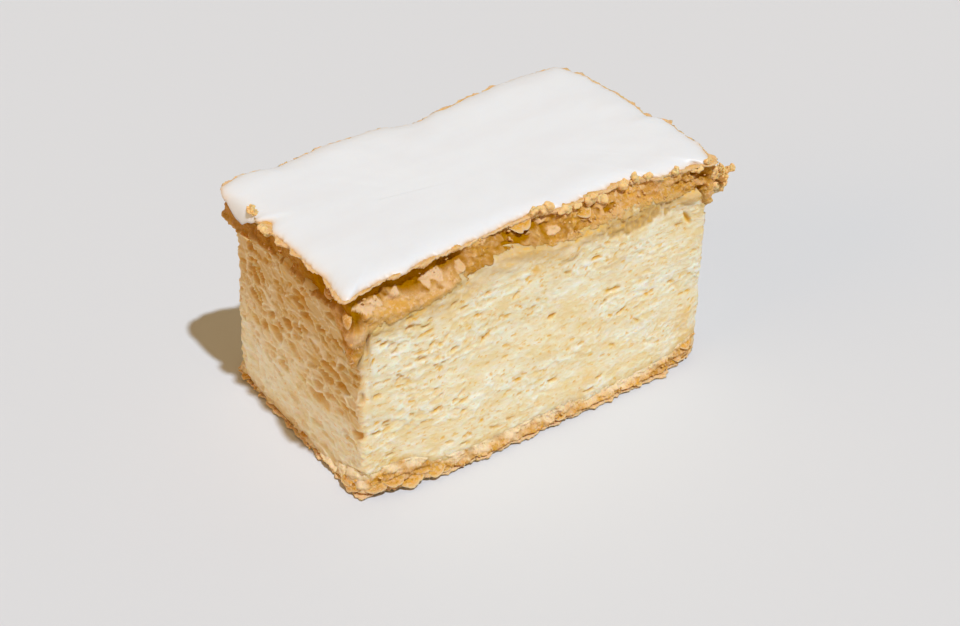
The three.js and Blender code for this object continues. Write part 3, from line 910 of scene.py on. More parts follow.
# Marks on the front of the cream: (x, height, half length, half height, depth, slant, bow, tone), where tone
# is how golden the mark's floor is.
# A mark's tone is painted shade on its floor.
FRONT_MARKS = [
    (22.7, 31.6, 3.0, 0.45, 0.7, 0.02, -0.6, 1.0),
    (19.4, 29.4, 2.2, 0.3, 0.5, 0.3, -0.2, 0.8),
    (24.8, 24.8, 2.0, 0.5, 0.7, 0.2, 0.5, 1.0),
    (-16.5, 33.6, 2.2, 0.4, 0.6, 0.5, -0.4, 1.0),
    (3.6, 31.2, 1.6, 0.6, 0.7, 0.1, 0.4, 0.9),
    (12.0, 20.5, 1.3, 0.4, 0.6, 0.2, 0.5, 0.9),
    (46.5, 44.0, 3.0, 0.8, 0.8, -1.0, 0.1, 1.0),
]
# A long hollow in the front, under the top pastry: x, height, half length, half height and slant.
UNDERCUT = (30.0, 48.8, 12.5, 3.1, 0.02)
# How far back the front's upper edge goes where it slips under the top pastry.
CREAM_SHOULDER = {
    "front": [(-50, 1.2), (-22, 1.2), (-15, 2.8), (4, 2.8), (12, 1.2), (50, 1.2)],
    "right": [(-28, 1.2), (28, 1.2)],
    "back": [(50, 1.2), (-50, 1.2)],
    "left": [(28, 1.2), (-28, 1.2)],
}
# Where the front is golden but whole: (x, height, half length, half height, slant, tone).
FRONT_PATCHES = [
    (-0.2, 46.0, 2.8, 1.7, 0.1, 0.75),
    (13.7, 8.9, 4.0, 2.4, 0.2, 0.4),
    (-2.5, 8.3, 3.0, 1.6, 0.1, 0.4),
    (46.0, 13.0, 3.6, 7.0, -0.2, 0.5),
    (47.0, 7.4, 4.0, 2.0, 0.2, 0.6),
    (25.0, 40.0, 8.0, 2.4, 0.2, 0.22),
    (11.0, 46.0, 5.0, 1.8, 0.1, 0.3),
    (-20.0, 47.4, 8.0, 2.2, 0.3, 0.3),
    (-46.0, 46.4, 3.6, 1.6, 0.0, 0.35),
]
# Where the front swells: (x, height, half length, half height, slant, rise).
FRONT_LUMPS = [
    (48.0, 49.6, 3.8, 1.6, 0.0, 1.1),
    (10.0, 47.0, 4.0, 2.0, 0.1, 0.7),
    (-9.0, 50.0, 5.0, 1.6, -0.2, 0.6),
    (-46.0, 47.4, 3.0, 1.4, 0.0, 0.7),
]


def on_ellipse(across, up, middle, height, long, tall, slant):
    """Where points are along a slanted ellipse's two axes, with its edge at 1."""
    dx, dz = across - middle, up - height
    u = (dx * math.cos(slant) + dz * math.sin(slant)) / long
    w = (dz * math.cos(slant) - dx * math.sin(slant)) / tall
    return u, w


def within(across, up, *ellipse):
    """How far inside a slanted ellipse each point is: 1 at its middle, 0 on its edge and negative outside."""
    u, w = on_ellipse(across, up, *ellipse)
    return 1 - u * u - w * w


def pressed(across, up, marks):
    """Maps of a face's depth and tone with marks pressed in, each a slanted, slightly bowed ellipse.

    across and up are the face's own coordinates in mm at each vertex of its net. A mark's floor is deepest
    near its upper lip, because the knife drags the cream down over the bubble.
    """
    # The tone is painted shade: golden colour on each mark's floor, strongest near its upper lip.
    depth, tone = np.zeros(across.shape), np.zeros(across.shape)
    for middle, height, long, tall, deep, slant, bow, gold in marks:
        room = long + tall + 1
        columns = np.nonzero(np.abs(across - middle).min(axis=0) < room)[0]
        rows = np.nonzero(np.abs(up - height).min(axis=1) < room)[0]
        if not len(columns) or not len(rows):
            continue
        part = (slice(rows[0], rows[-1] + 1), slice(columns[0], columns[-1] + 1))
        u, w = on_ellipse(across[part], up[part], middle, height, long, tall, slant)
        w -= bow * (u * u - 0.4)
        inside = np.clip(1 - u * u - w * w, 0, 1)
        lean = np.clip(1 + 0.45 * w, 0.5, 1.5)
        depth[part] = np.maximum(depth[part], deep * inside**0.7 * lean)
        tone[part] = np.maximum(tone[part], gold * np.clip(inside * 1.8, 0, 1) * lean**0.5)
    return depth, tone


def draw_marks(draw, low, high, height, count, long, tall, deep, gold, slant, upper):
    """Marks at random between low and high, up to a height. count and the rest are a row of bubbles."""
    marks = []
    for _ in range(count):
        share = draw.random() ** 2
        rise = draw.random()
        if draw.random() < upper:
            rise = max(rise, draw.random())
        marks.append(
            (
                draw.uniform(low, high),
                rise * height,
                mix(*long, share),
                mix(*tall, share * draw.uniform(0.5, 1)),
                mix(*deep, share) * draw.uniform(0.7, 1.2),
                draw.gauss(slant, 0.28),
                draw.uniform(-0.9, 0.9),
                draw.uniform(*gold),
            )
        )
    return marks


def knife_marks(outline, across, up, top):
    """Maps of how deep and how golden the bubbles are that the knife cut open in the front and the back."""
    depth, tone = np.zeros(across.shape), np.zeros(across.shape)
    draw = random.Random(7)
    reach = outline.half[0]
    for way in (-1, 1):
        facing = np.nonzero(way * outline.out[:, 1] > FACING)[0]
        marks = [mark for kind in SIDE_BUBBLES for mark in draw_marks(draw, -reach, reach, top, *kind)]
        if way < 0:
            marks += draw_marks(draw, *CORNER_SPAN, top, *CORNER_BUBBLES) + FRONT_MARKS
        depth[:, facing], tone[:, facing] = pressed(across[:, facing], up[:, facing], marks)
    return depth, tone


def smeared_relief(spots, share, warp):
    """The relief of the smeared sides: streaks that rise to the right, and the slits of closed bubbles."""
    streaked = tilted(spots, 1, 0.1) + 0.7 * warp
    streaked[..., 2] += 0.16 * ease(share, 0.2, 0.9) * (spots[..., 0] - BLOCK_MIDDLE[0])
    streaks = rough(streaked, (3.0, 6, 1.0), 3) + 0.6 * rough(streaked, (1.3, 3, 0.55), 4)
    closed, _ = bubbles(streaked, (3.2, 4, 1.1), 5)
    calm = 0.45 + 0.75 * ease(rough(spots, (14, 14, 8), 6), -0.25, 0.3)
    return calm * (0.2 * streaks + 0.16 * ease(closed, 0.25, 0.0))


def torn_relief(spots, share, warp):
    """The relief of the pulled ends, and how much of a wide bubble, a small one and a wall is at each point.

    The bubbles have thin walls and slope down to the cut front, and the deepest are near the top.
    """
    sloping = tilted(spots, 0, 0.12) + 1.3 * warp
    wide_in, wide_chance = bubbles(sloping, (6, 6.4, 2.7), 7)
    small_in, small_chance = bubbles(sloping, (3, 2.8, 1.3), 8)
    high = 0.3 + 0.7 * ease(share + 0.2 * warp[..., 0], 0.15, 0.7)
    wide = ease(wide_in, 0.03, 0.4) * ease(wide_chance, 0.4, 0.8) * high
    small = ease(small_in, 0.05, 0.5) * ease(small_chance, 0.45, 0.9) * high
    wall = ease(wide_in, 0.1, 0.0) * (0.4 + 0.6 * high)
    relief = 0.35 * wall + 0.2 * rough(sloping, (2, 2, 0.8), 9) - 1.9 * wide - 0.7 * small
    return relief, wide, small, wall


def front_patches(outline, across, up, blur):
    """How far the front swells, how golden it is and how much of its undercut is at each point."""
    front = outline.out[:, 1] < -FACING
    lump, golden = np.zeros(up.shape), np.zeros(up.shape)
    for *ellipse, rise in FRONT_LUMPS:
        lump += rise * front * np.clip(within(across, up, *ellipse), 0, 1)
    for *ellipse, gold in FRONT_PATCHES:
        golden = np.maximum(golden, gold * front * ease(within(across, up, *ellipse) + blur, 0.0, 1.2))
    sunk = front * ease(within(across, up, *UNDERCUT) + 0.6 * blur, 0.0, 0.4)
    return lump, golden, sunk


def cream_skin(layer, line, bottom, top):
    """The cream's sides as a closed net: smeared front and back, torn ends, stains and painted shade next to
    the pastry.
    """
    outline = layer.outline
    place, height, share = layer.face(rows=116)
    spots = layer.at(place, height)
    warp = warped(spots, 5, 81)
    # How far each point is on an end, which was pulled apart, rather than on the smeared front or back.
    pulled = np.broadcast_to(np.abs(outline.out[:, 0]) ** 2, height.shape)
    smeared = smeared_relief(spots, share, warp)
    torn, wide, small, wall = torn_relief(spots, share, warp)
    across = spots[..., 0] - BLOCK_MIDDLE[0] + 0.7 * warp[..., 0]
    up = height + 0.4 * warp[..., 1]
    depth, tone = knife_marks(outline, across, up, top)
    blur = 0.7 * rough(spots, 2.2, 10) + 0.5 * rough(spots, 0.9, 11)
    lump, golden, sunk = front_patches(outline, across, up, blur)

    # Where the cream meets the pastry, above and below, it is soaked and stained by it, in blotches; under the
    # top pastry the same colour is also painted shade.
    blotch = 2.2 * rough(spots, (4, 4, 3), 12) + 1.2 * rough(spots, (1.5, 1.5, 1.0), 13)
    near_crust = ease(height - line + 1.4 * blotch, -6.5, 1.0)
    near_base = ease(outline.spread(BASE_LINE) - height + blotch, -2.2, 1.2)
    golden = np.maximum(golden, 0.35 * near_base * (1 - 0.5 * pulled))
    stained = np.maximum(0.8 * near_crust, 0.45 * near_base)
    # Painted shade: the undercut under the top pastry is painted darker with the stain colour.
    stained = np.maximum(stained, sunk * (1.05 + 0.7 * rough(spots, 1.6, 14)))
    # On the ends, painted shade: the bubbles and the upper part, under the top pastry, are painted darker and
    # more golden; painted highlight: the walls between the bubbles and the lower part are painted paler.
    upper = ease(share + 0.15 * warp[..., 1], 0.1, 0.9)
    ends_tone = np.clip(0.5 * wide + 0.4 * small, 0, 1) * (1 - 0.75 * wall)
    ends_stain_and_shade = np.clip(0.7 * wide + 0.6 * small + 0.9 * upper - 0.15, 0, 1) * (1 - 0.5 * wall)
    ends_highlight = 0.8 * np.maximum(wall, 1 - 1.5 * upper)
    # Painted shade: the low parts of the smeared relief are painted golden.
    low = ease(-smeared, 0.02, 0.24) * 0.35
    values = {
        "hollow": np.maximum(np.maximum(tone, golden), mix(low, ends_tone, pulled)),
        "stained": np.clip(np.maximum(stained, ends_stain_and_shade * pulled), 0, 1),
        "proud": np.clip(mix(ease(smeared, 0.0, 0.25), ends_highlight, pulled), 0, 1),
    }

    # The relief fades out over the last three rows, and the upper edge slips back under the pastry.
    broad = 0.4 * rough(spots, (12, 12, 8), 2)
    end = np.minimum(share, 1 - share) * (height.shape[0] - 1)
    torn_line = height - line + 0.8 * rough(spots, (3.6, 3.6, 2), 16) + 0.5 * rough(spots, 1.5, 17)
    shoulder = ease(torn_line, -0.6, 1.0) * outline.spread(CREAM_SHOULDER)
    relief = mix(smeared, torn, pulled) + lump - depth - sunk * (0.3 + 0.7 * rough(spots, 1.3, 15))
    out = np.clip(end / 3, 0, 1) * (broad + relief) - 0.1 - shoulder
    return capped(outline, layer.at(place, height, out), bottom, np.max(line) - 2), edged(values)


class SLICE_OT_cream(bpy.types.Operator):
    """Makes the block of whipped custard cream, with the bubbles that the knife tore open"""

    bl_idname = "slice.cream"
    bl_label = "Cream"

    def execute(self, context):
        size = sizes()
        outline = Outline(front=330, right=100, back=160, left=204)
        # The cream reaches this far down into the base pastry.
        sunk = 2.6
        bottom = size["base_thickness"] - sunk
        line = outline.spread(CRUST_LINE)
        layer = Layer(outline, CREAM_FOOT, outline.reach(CREAM_HEAD), bottom, line + 1.0, -0.2, 1.1)
        skin = cream_skin(layer, line, bottom, size["cream_top"])
        piece = lay_nets("custard_block", [skin], whipped_cream())
        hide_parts("custard_cream")
        return {"FINISHED"}


# ---- Pastry ----
# How many steps a pastry's face takes along each side, and how many shapes of flake or crumb it has.
PASTRY_STEPS = {"front": 400, "right": 120, "back": 210, "left": 230}
SHAPES = 9


def leaf(layer, middle, span, rise, path, thick=0.4, ragged=0.7, wave=0.3, lean=0.0, seed=0.0, golden=0.2):
    """A torn leaf of pastry that grows out of a layer's side, as a net with its values.

    path is the leaf's root, its bend and its tip, each as (distance out, height from rise) in mm. The leaf
    narrows to nothing at both ends of its span, and lean is how far it rises from one to the other.
    """
    columns = max(10, int(span / 0.42))
    turn = np.linspace(-1, 1, columns + 1)
    place = middle + turn * span / 2
    ring = layer.at(place, rise)
    root, bend, tip = (np.array(point, float) for point in path)
    long = np.linalg.norm(bend - root) + np.linalg.norm(tip - bend)
    jag = rough(ring, 3.4, seed) + 0.8 * rough(ring, 1.5, seed + 1) + 0.4 * rough(ring, 0.7, seed + 2)
    reach = np.clip(1 - np.abs(turn) ** 2.4, 0, 1) ** 0.8 * np.clip(1 + ragged * jag / long, 0.2, 1.4)
    steps = 7
    share = np.linspace(0, 1, steps + 1)[:, None]
    u = (share * reach)[..., None]
    curve = root * (1 - u) ** 2 + bend * 2 * u * (1 - u) + tip * u**2
    slope = 2 * (1 - u) * (bend - root) + 2 * u * (tip - bend)
    normal = np.stack([-slope[..., 1], slope[..., 0]], -1) / np.linalg.norm(slope, axis=-1, keepdims=True)
    half = thick / 2 * np.clip(1 - share**6, 0, 1) ** 0.5 * np.clip(1 - turn**2, 0, 1) ** 0.5
    ripple = wave * (rough(ring, 5, seed + 3) + 0.6 * rough(ring, 2.1, seed + 4)) * share
    upper = curve + normal * half[..., None]
    lower = curve - normal * half[..., None]
    both = np.concatenate([upper, lower[-2::-1], upper[:1]])
    lift = np.concatenate([ripple, ripple[-2::-1], ripple[:1]]) + rise + lean * turn
    torn = np.concatenate([share, share[-2::-1], share[:1]])
    torn = ease(torn * reach / np.maximum(reach, 0.3), 0.7, 1.0) + 0 * lift
    net = layer.at(place[None, :] + 0 * lift, both[..., 1] + lift, both[..., 0])
    return net, {"torn": torn, "golden": golden}


def small_turn(draw, layer, place, size, droop, swing=0.5):
    """The matrix of a small shape on a layer's side: its size in mm, hanging by about droop radians."""
    angles = Euler((-draw.gauss(droop, 0.35), draw.gauss(0, swing), draw.uniform(-math.pi, math.pi)))
    turn = np.array(Euler((angles.x, angles.y, 0)).to_matrix() @ Euler((0, 0, angles.z)).to_matrix())
    return np.asarray(size)[:, None] * turn.T @ layer.stand(place)


def flake_size(draw, wide):
    """How much a flake is scaled along, across and through, which is never little, so that it shows."""
    return wide, wide, max(wide, 2.4)


def crumb_size(draw, wide):
    """How much a crumb is scaled along its three axes."""
    return wide, wide * draw.uniform(0.7, 1), wide * draw.uniform(0.5, 0.9)


def bits_on(draw, layer, flaked, band, count, widths, out, size_of, droop):
    """Spots for flakes or crumbs at random on a layer's side, lying as thickly as flaked says at each point.

    band gives the least and the most height at a place, widths and out are the least and the most width and
    distance out, and size_of gives a bit's three scales from its width.
    """
    spots = []
    while len(spots) < count:
        place = draw.uniform(0, layer.outline.place[-1])
        if draw.random() > layer.outline.value(flaked, place):
            continue
        low, high = band(place)
        middle = layer.at(place, draw.uniform(low, high), draw.uniform(*out))
        size = size_of(draw, mix(*widths, draw.random() ** 2))
        spots.append((draw.randrange(100), middle, small_turn(draw, layer, place, size, droop)))
    return spots


def soft_lumps(name, layer, lumps, material):
    """One piece of soft lumps of crumb on a layer's side, from the table of lumps.

    Each lump is a few balls that grew together, with a rough skin.
    """
    draw = random.Random(13)
    bm = bmesh.new()
    keys = ("torn", "golden", "soft", "loose")
    torn, golden, soft, loose = (bm.verts.layers.float.new(key) for key in keys)
    for number, (side, along_side, height, inward, *half, gold) in enumerate(lumps):
        place = layer.outline.where(side, along_side)
        for _ in range(3):
            made = bmesh.ops.create_icosphere(bm, subdivisions=4, radius=1.0)["verts"]
            ball = np.array([vertex.co[:] for vertex in made])
            shift = [draw.uniform(-0.35, 0.35) * size for size in half]
            spots = ball * [draw.uniform(0.6, 0.8) * size for size in half] + shift
            seed = 9 * number
            relief = 0.6 * rough(spots, 1.4, seed) + 0.3 * rough(spots, 0.7, seed)
            relief += 0.12 * rough(spots, 0.35, seed)
            spots = (spots + ball * relief[:, None]) @ layer.stand(place) + layer.at(place, height, -inward)
            # Painted highlight: a lump is paler where its skin stands out.
            for vertex, spot, worn in zip(made, spots.tolist(), ease(relief, -0.1, 0.4).tolist()):
                vertex.co = spot
                vertex[torn] = 0.8 - 0.4 * gold + 0.2 * worn
                vertex[golden] = gold
                vertex[soft] = 1.0
                vertex[loose] = (0.5 + 0.4 * worn) * (1 - 0.5 * gold)
    return ride_body(name, mesh_from(name, bm), material)


# The rows of a torn sheet's closed edge: (distance in, share of the thickness, how much of a tooth and of a
# heap is there, how torn it is).
SHEET_ROWS = [
    (9.0, 0.2, 0, 0, 0),
    (2.0, 0.2, 0, 0, 0.2),
    (0.7, 0.05, 0.5, 0, 0.4),
    (0.2, 0.0, 1, 0, 0.7),
    (0.0, 0.3, 0.5, 0.1, 1),
    (0.0, 0.65, 0, 0.4, 1),
    (0.15, 0.9, 0, 0.8, 0.9),
    (0.5, 1.0, 0, 1, 0.7),
    (1.0, 1.0, 0, 1, 0.5),
    (1.6, 1.0, 0, 0.8, 0.3),
    (2.4, 0.9, 0, 0.3, 0),
    (9.0, 0.9, 0, 0, 0),
]


def ragged_sheet(outline, edge, low, high, jag, teeth, seed, lump=0.0):
    """A thin sheet of pastry that runs right under the slice, seen only at its torn edge, as a closed net.

    edge is the ring of points that it reaches. jag is how far it is torn in and out, teeth how far bits of it
    hang down, and lump how far it is heaped up at each point.
    """
    torn = 1.6 * rough(edge, 3.6, seed) + 1.1 * rough(edge, 1.5, seed + 1) + 0.3 * rough(edge, 0.7, seed + 2)
    tooth = rough(edge, 4, seed + 3) + 0.9 * rough(edge, 1.6, seed + 4) + 0.5 * rough(edge, 0.7, seed + 5)
    tooth *= teeth
    # The sheet's edge is broken into shards, each a little further in or out and up or down than the next.
    shard_in, shard = bubbles(edge * (1, 1, 0), 3.6, seed + 11)
    torn += 1.8 * (shard - 0.5) * ease(shard_in, 0.0, 0.15)
    tooth += 1.2 * teeth * (0.5 - shard) * ease(shard_in, 0.0, 0.15)
    heaped = np.clip(lump, 0, 1) + 0 * tooth
    net, pale, golden = [], [], []
    for number, (inward, level, hang, pile, tear) in enumerate([*SHEET_ROWS, SHEET_ROWS[0]]):
        number %= len(SHEET_ROWS)
        loose = float(inward < 2)
        place = edge + (0, 0, 1.3 * number)
        fray = jag * torn + 0.3 * rough(place, 1.2, seed + 6) + 0.2 * rough(place, 0.6, seed + 7)
        shrink = inward - loose * fray
        flat = drawn_in(outline, edge, shrink[:, None])
        crumble = 0.28 * rough(place, 1.3, seed + 8) + 0.2 * rough(place, 0.6, seed + 9)
        height = mix(low, high, level) + tooth * hang + pile * lump + loose * crumble * (1 + heaped)
        net.append(np.concatenate([flat, height[:, None]], -1))
        pale.append(np.clip(tear + 0.6 * rough(place, 1.6, seed + 10), 0, 1) * (1 - 0.6 * heaped))
        golden.append(np.clip(heaped + 0.2 + 1.2 * rough(place, 4, seed + 12), 0, 1))
    return np.array(net), {"torn": np.array(pale), "golden": np.array(golden)}


def top_crumb(layer, line, top):
    """The top pastry's face as a closed net: crumb, a recess under the brim and a smooth leaf below that."""
    outline = layer.outline
    place, height, share = layer.face(rows=44)
    spots = layer.at(place, height)
    recess, begin, smooth = (outline.spread(sides) for sides in (RECESS, RECESS_FOOT, SMOOTH))
    wobble = 0.1 * rough(spots, (4, 4, 30), 20) + 0.06 * rough(spots, (1.4, 1.4, 30), 19)
    cave = recess * ease(share + wobble, begin - 0.04, begin + 0.12)
    smooth = smooth * (1 - ease(share + wobble, begin - 0.2, begin - 0.05)) * ease(share, 0.0, 0.12)
    warp = warped(spots, 2.6, 84)
    clumps = grains(spots + warp, 2.4, 22)
    grain = 0.6 * grains(spots + 0.3 * warp, 1.3, 23) + 0.35 * grains(spots, 0.75, 26)
    zone = rough(spots, (5.5, 5.5, 2.6), 24) + 0.5 * rough(spots, (2.2, 2.2, 1.3), 25)
    sunk = ease(zone + 0.4 * clumps, 0.05, -0.3) * (1 - smooth)
    pale = ease(zone + 0.6 * clumps, 0.25, 0.8)
    rugged = 0.25 * clumps + grain + 0.45 * zone - 0.3 * sunk
    out = rugged * (1 - 0.7 * smooth) * (1 - 0.4 * cave) - 0.5
    # How far each point is above the line where the pastry meets the cream, which is a ragged one.
    above = height - line + 0.8 * rough(spots, (3.6, 3.6, 2), 18) + 0.5 * rough(spots, 1.5, 17)
    out = out - cave * (1.4 + 0.5 * rough(spots, (6, 6, 2), 21)) - 0.7 * ease(above, 0.0, -1.2)
    across, front = spots[..., 0] - BLOCK_MIDDLE[0], outline.out[:, 1] < -FACING
    frayed = 0.6 * rough(spots, 1.7, 29) + 0.35 * rough(spots, 0.8, 27)
    tone = np.zeros(height.shape)
    for *ellipse, rise, shade in CRUST_MARKS:
        inside = front * np.clip(within(across, height, *ellipse) + frayed, 0, 1)
        out += rise * inside**0.7
        tone = mix(tone, shade * (1 + 1.5 * frayed), ease(inside, 0.0, 0.35))
    # Painted highlight: the ledge just under the recess is painted paler.
    edge_light = 0.5 * ease(share + wobble, begin - 0.3, begin - 0.05) * recess
    fade = ease(above + 1.2 * rough(spots, (2.6, 2.6, 2), 30), 1.6, -0.6)
    # Painted shade: the recess under the brim, the sunk zones and the marks' dark tones are painted dark.
    deep = np.maximum(cave, 0.45 * sunk) * ease(tone, 0.4, 0.0)
    worn = np.maximum(0.6 * pale * (1 - 0.6 * smooth), tone) + 0.6 * edge_light
    values = {
        "torn": np.clip(worn, 0, 1) * (1 - deep),
        "dark": np.clip(np.maximum(deep, -tone), 0, 1),
        "stained": 0.75 * fade * (1 - cave),
        "golden": np.maximum(0.7 * smooth, 0.5 * ease(-zone, 0.1, 0.5)),
        "soft": 0.6 * smooth,
    }
    return capped(outline, layer.at(place, height, out), np.max(line) - 2, top - 0.4), edged(values)


def top_brim(layer, top):
    """The top pastry's thin torn brim round the icing, heaped up here and there."""
    outline = layer.outline
    edge = layer.at(outline.place, top)
    lump = np.zeros(len(outline.place))
    for side, spot, long, rise in BRIM_HEAPS:
        lump += rise * np.exp(-(((outline.place - outline.where(side, spot)) / long) ** 2))
    lump *= 1 + 0.4 * rough(edge, 1.4, 38)
    return ragged_sheet(outline, edge, top - 0.45, top, 0.45, 0.4, 31, lump)


def top_leaves(draw, layer, line, top, flaked):
    """The top pastry's leaves: those of the front and the corner as listed, and the others at random."""
    outline = layer.outline
    leaves = [leaf(layer, outline.where(side, spot), *rest) for side, spot, *rest in TOP_LEAVES]
    for number in range(10):
        middle = draw.uniform(0, outline.place[-1])
        rise = mix(outline.value(line, middle), top - 0.6, draw.random())
        bend = (0.0, draw.uniform(0.0, 0.3))
        path = [(-2.0, 0.2), bend, (draw.uniform(0.3, 0.7), draw.uniform(-0.7, 0.1))]
        span = draw.uniform(2.5, 6)
        lean = draw.uniform(-0.7, 0.7)
        if outline.value(outline.out[:, 1], middle) < -FACING:
            continue
        if draw.random() < outline.value(flaked, middle):
            thick = draw.uniform(0.2, 0.3)
            leaves.append(leaf(layer, middle, span, rise, path, thick, 0.7, 0.4, lean, number))
    return leaves


class SLICE_OT_top_pastry(bpy.types.Operator):
    """Makes the top pastry: its crumb with a recess under a torn brim, leaves, flakes and crumbs"""

    bl_idname = "slice.top_pastry"
    bl_label = "Top pastry"

    def execute(self, context):
        size = sizes()
        pastry = puff_pastry()
        outline = Outline(**PASTRY_STEPS)
        line = outline.spread(CRUST_LINE)
        top = size["height"] - size["icing_thickness"]
        head = outline.reach(ICING_SIDES) + outline.out * outline.spread(BRIM)[:, None]
        slopes = outline.spread(SLOPE_FOOT), outline.spread(SLOPE_HEAD)
        layer = Layer(outline, CRUST_FOOT, head, line - 1.2, top - 0.4, *slopes)
        core = lay_nets("top_pastry_crumb", [top_crumb(layer, line, top)], pastry)
        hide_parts("top_crust")
        lay_nets("top_pastry_brim", [top_brim(layer, top)], pastry)

        draw = random.Random(11)
        flaked = outline.spread(FLAKED)
        leaves = top_leaves(draw, layer, line, top, flaked)
        lay_nets("top_pastry_leaves", leaves, pastry, sharp=50)

        def band(spot):
            return outline.value(line, spot) + 0.3, top - 0.3

        shapes = [flake_shape(draw) for _ in range(SHAPES)]
        spots = bits_on(draw, layer, flaked, band, 50, (0.7, 1.6), (-0.3, 0.0), flake_size, 0.7)
        scatter("top_pastry_flakes", shapes, spots, pastry, sharp=50)
        shapes = [crumb_shape(draw) for _ in range(SHAPES)]
        spots = bits_on(draw, layer, flaked, band, 170, (0.5, 1.4), (-0.3, 0.0), crumb_size, 0.3)
        scatter("top_pastry_crumbs", shapes, spots, pastry)
        spots = []
        for side, spot, *rest in HEAPS:
            spots += heap(draw, layer, outline.where(side, spot), *rest)
        scatter("top_pastry_heaps", shapes, spots, pastry, golden=0.8, soft=0.7, loose=0.5)
        soft_lumps("top_pastry_lumps", layer, LUMPS, pastry)
        return {"FINISHED"}


def base_crumb(layer, line, flared):
    """The base pastry's face as a closed net: crumb that flares out over the thin sheet under it."""
    outline = layer.outline
    place, height, share = layer.face(rows=26)
    spots = layer.at(place, height)
    warp = warped(spots, 2.4, 87)
    clumps = grains(spots + warp, 2.2, 63)
    grain = 0.2 * grains(spots + 0.3 * warp, 1.3, 64) + 0.3 * grains(spots, 0.75, 60)
    grain += 0.5 * rough(spots, (4.5, 4.5, 1.2), 57) + 0.45 * rough(spots, (2, 2, 0.6), 59)
    grain += 0.2 * rough(spots, 0.5, 58)
    zone = rough(spots, (5, 5, 2.4), 61) + 0.5 * rough(spots, (2, 2, 1.3), 62)
    sunk = ease(zone + 0.4 * clumps, 0.05, -0.3)
    sheet = 1.3 / line
    under = ease(share, sheet * 0.9, sheet * 0.3)
    flare = np.exp(-np.clip(share - sheet, 0, 1) / 0.4) * flared
    # How far each point is above the ragged line where the pastry meets the cream, and slips under it.
    above = height - line + 1.5 * rough(spots, (3.6, 3.6, 2), 67) + 1.0 * rough(spots, 1.5, 68)
    tucked = ease(above, -1.6, 0.9)
    out = flare + grain + 0.3 * zone - 0.3 * sunk - 0.3 - 2.2 * under - 1.0 * tucked
    fade = ease(above + 1.4 * rough(spots, (2.6, 2.6, 2), 65), -1.8, 0.7)
    # The left end is painted paler than the rest, painted light for the side that the lamps leave dim.
    left = np.clip(-outline.out[:, 0], 0, 1)
    values = {
        "torn": np.clip(0.7 * ease(zone + 0.6 * clumps, 0.25, 0.8) + 0.7 * left, 0, 1) * (1 - under),
        # Painted shade: under the flare and in sunk zones, except on the left end.
        "dark": np.maximum(0.4 * sunk * (1 - left), 0.5 * under * (1 - left)),
        "moist": 0.65 * fade + 0.5 * left * (1 - fade),
        "golden": 0.6 * ease(-zone, 0.0, 0.4),
    }
    return capped(outline, layer.at(place, height, out), 0.0, 2.0), edged(values)


def base_sheet(layer, flared):
    """The thin torn sheet that the slice stands on, a little off the floor."""
    outline = layer.outline
    edge = layer.at(outline.place, 0.6 + 0 * outline.place, flared)
    lift = 0.4 + 0.3 * rough(edge, (5, 5, 50), 66)
    return ragged_sheet(outline, edge, lift, lift + 0.6, 0.42, 0.15, 71)


def base_leaves(draw, layer, flaked):
    """The base pastry's leaves: those at the front's two ends as listed, and the others at random."""
    outline = layer.outline
    leaves = [leaf(layer, outline.where(side, spot), *rest) for side, spot, *rest in BASE_LEAVES]
    for number in range(24):
        middle = draw.uniform(0, outline.place[-1])
        bend = (0.2, draw.uniform(0.2, 0.6))
        path = [(-1.5, 0.5), bend, (draw.uniform(0.7, 1.3), draw.uniform(-0.3, 0.1))]
        rise = draw.uniform(0.7, 2.0)
        span = draw.uniform(2.5, 7)
        lean = draw.uniform(-0.3, 0.3)
        if draw.random() < outline.value(flaked, middle):
            thick = draw.uniform(0.2, 0.3)
            leaves.append(leaf(layer, middle, span, rise, path, thick, 0.6, 0.3, lean, number))
    return leaves


class SLICE_OT_base_pastry(bpy.types.Operator):
    """Makes the base pastry: its crumb on a thin torn sheet, with lifted leaves, flakes and crumbs"""

    bl_idname = "slice.base_pastry"
    bl_label = "Base pastry"

    def execute(self, context):
        pastry = puff_pastry()
        outline = Outline(**PASTRY_STEPS)
        line = outline.spread(BASE_LINE)
        flared, flaked = outline.spread(BASE_FLARE), outline.spread(FLAKED)
        layer = Layer(outline, BASE_SIDES, outline.reach(BASE_SIDES), 0.0, line + 0.9)
        core = lay_nets("base_pastry_crumb", [base_crumb(layer, line, flared)], pastry)
        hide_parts("base_crust")

        draw = random.Random(12)
        sheet = base_sheet(layer, flared)
        leaves = base_leaves(draw, layer, flaked)
        for net, _ in (sheet, *leaves):
            net[..., 2] = np.maximum(net[..., 2], LOWEST)
        lay_nets("base_pastry_sheet", [sheet], pastry)
        lay_nets("base_pastry_leaves", leaves, pastry, sharp=50)

        def band(spot):
            return 0.7, outline.value(line, spot) - 0.8

        shapes = [flake_shape(draw) for _ in range(SHAPES)]
        spots = bits_on(draw, layer, flaked, band, 60, (0.7, 1.7), (0.0, 0.5), flake_size, 0.5)
        scatter("base_pastry_flakes", shapes, spots, pastry, sharp=50)
        shapes = [crumb_shape(draw) for _ in range(SHAPES)]
        spots = bits_on(draw, layer, flaked, band, 260, (0.4, 1.1), (-0.1, 0.4), crumb_size, 0.3)
        scatter("base_pastry_crumbs", shapes, spots, pastry)
        return {"FINISHED"}


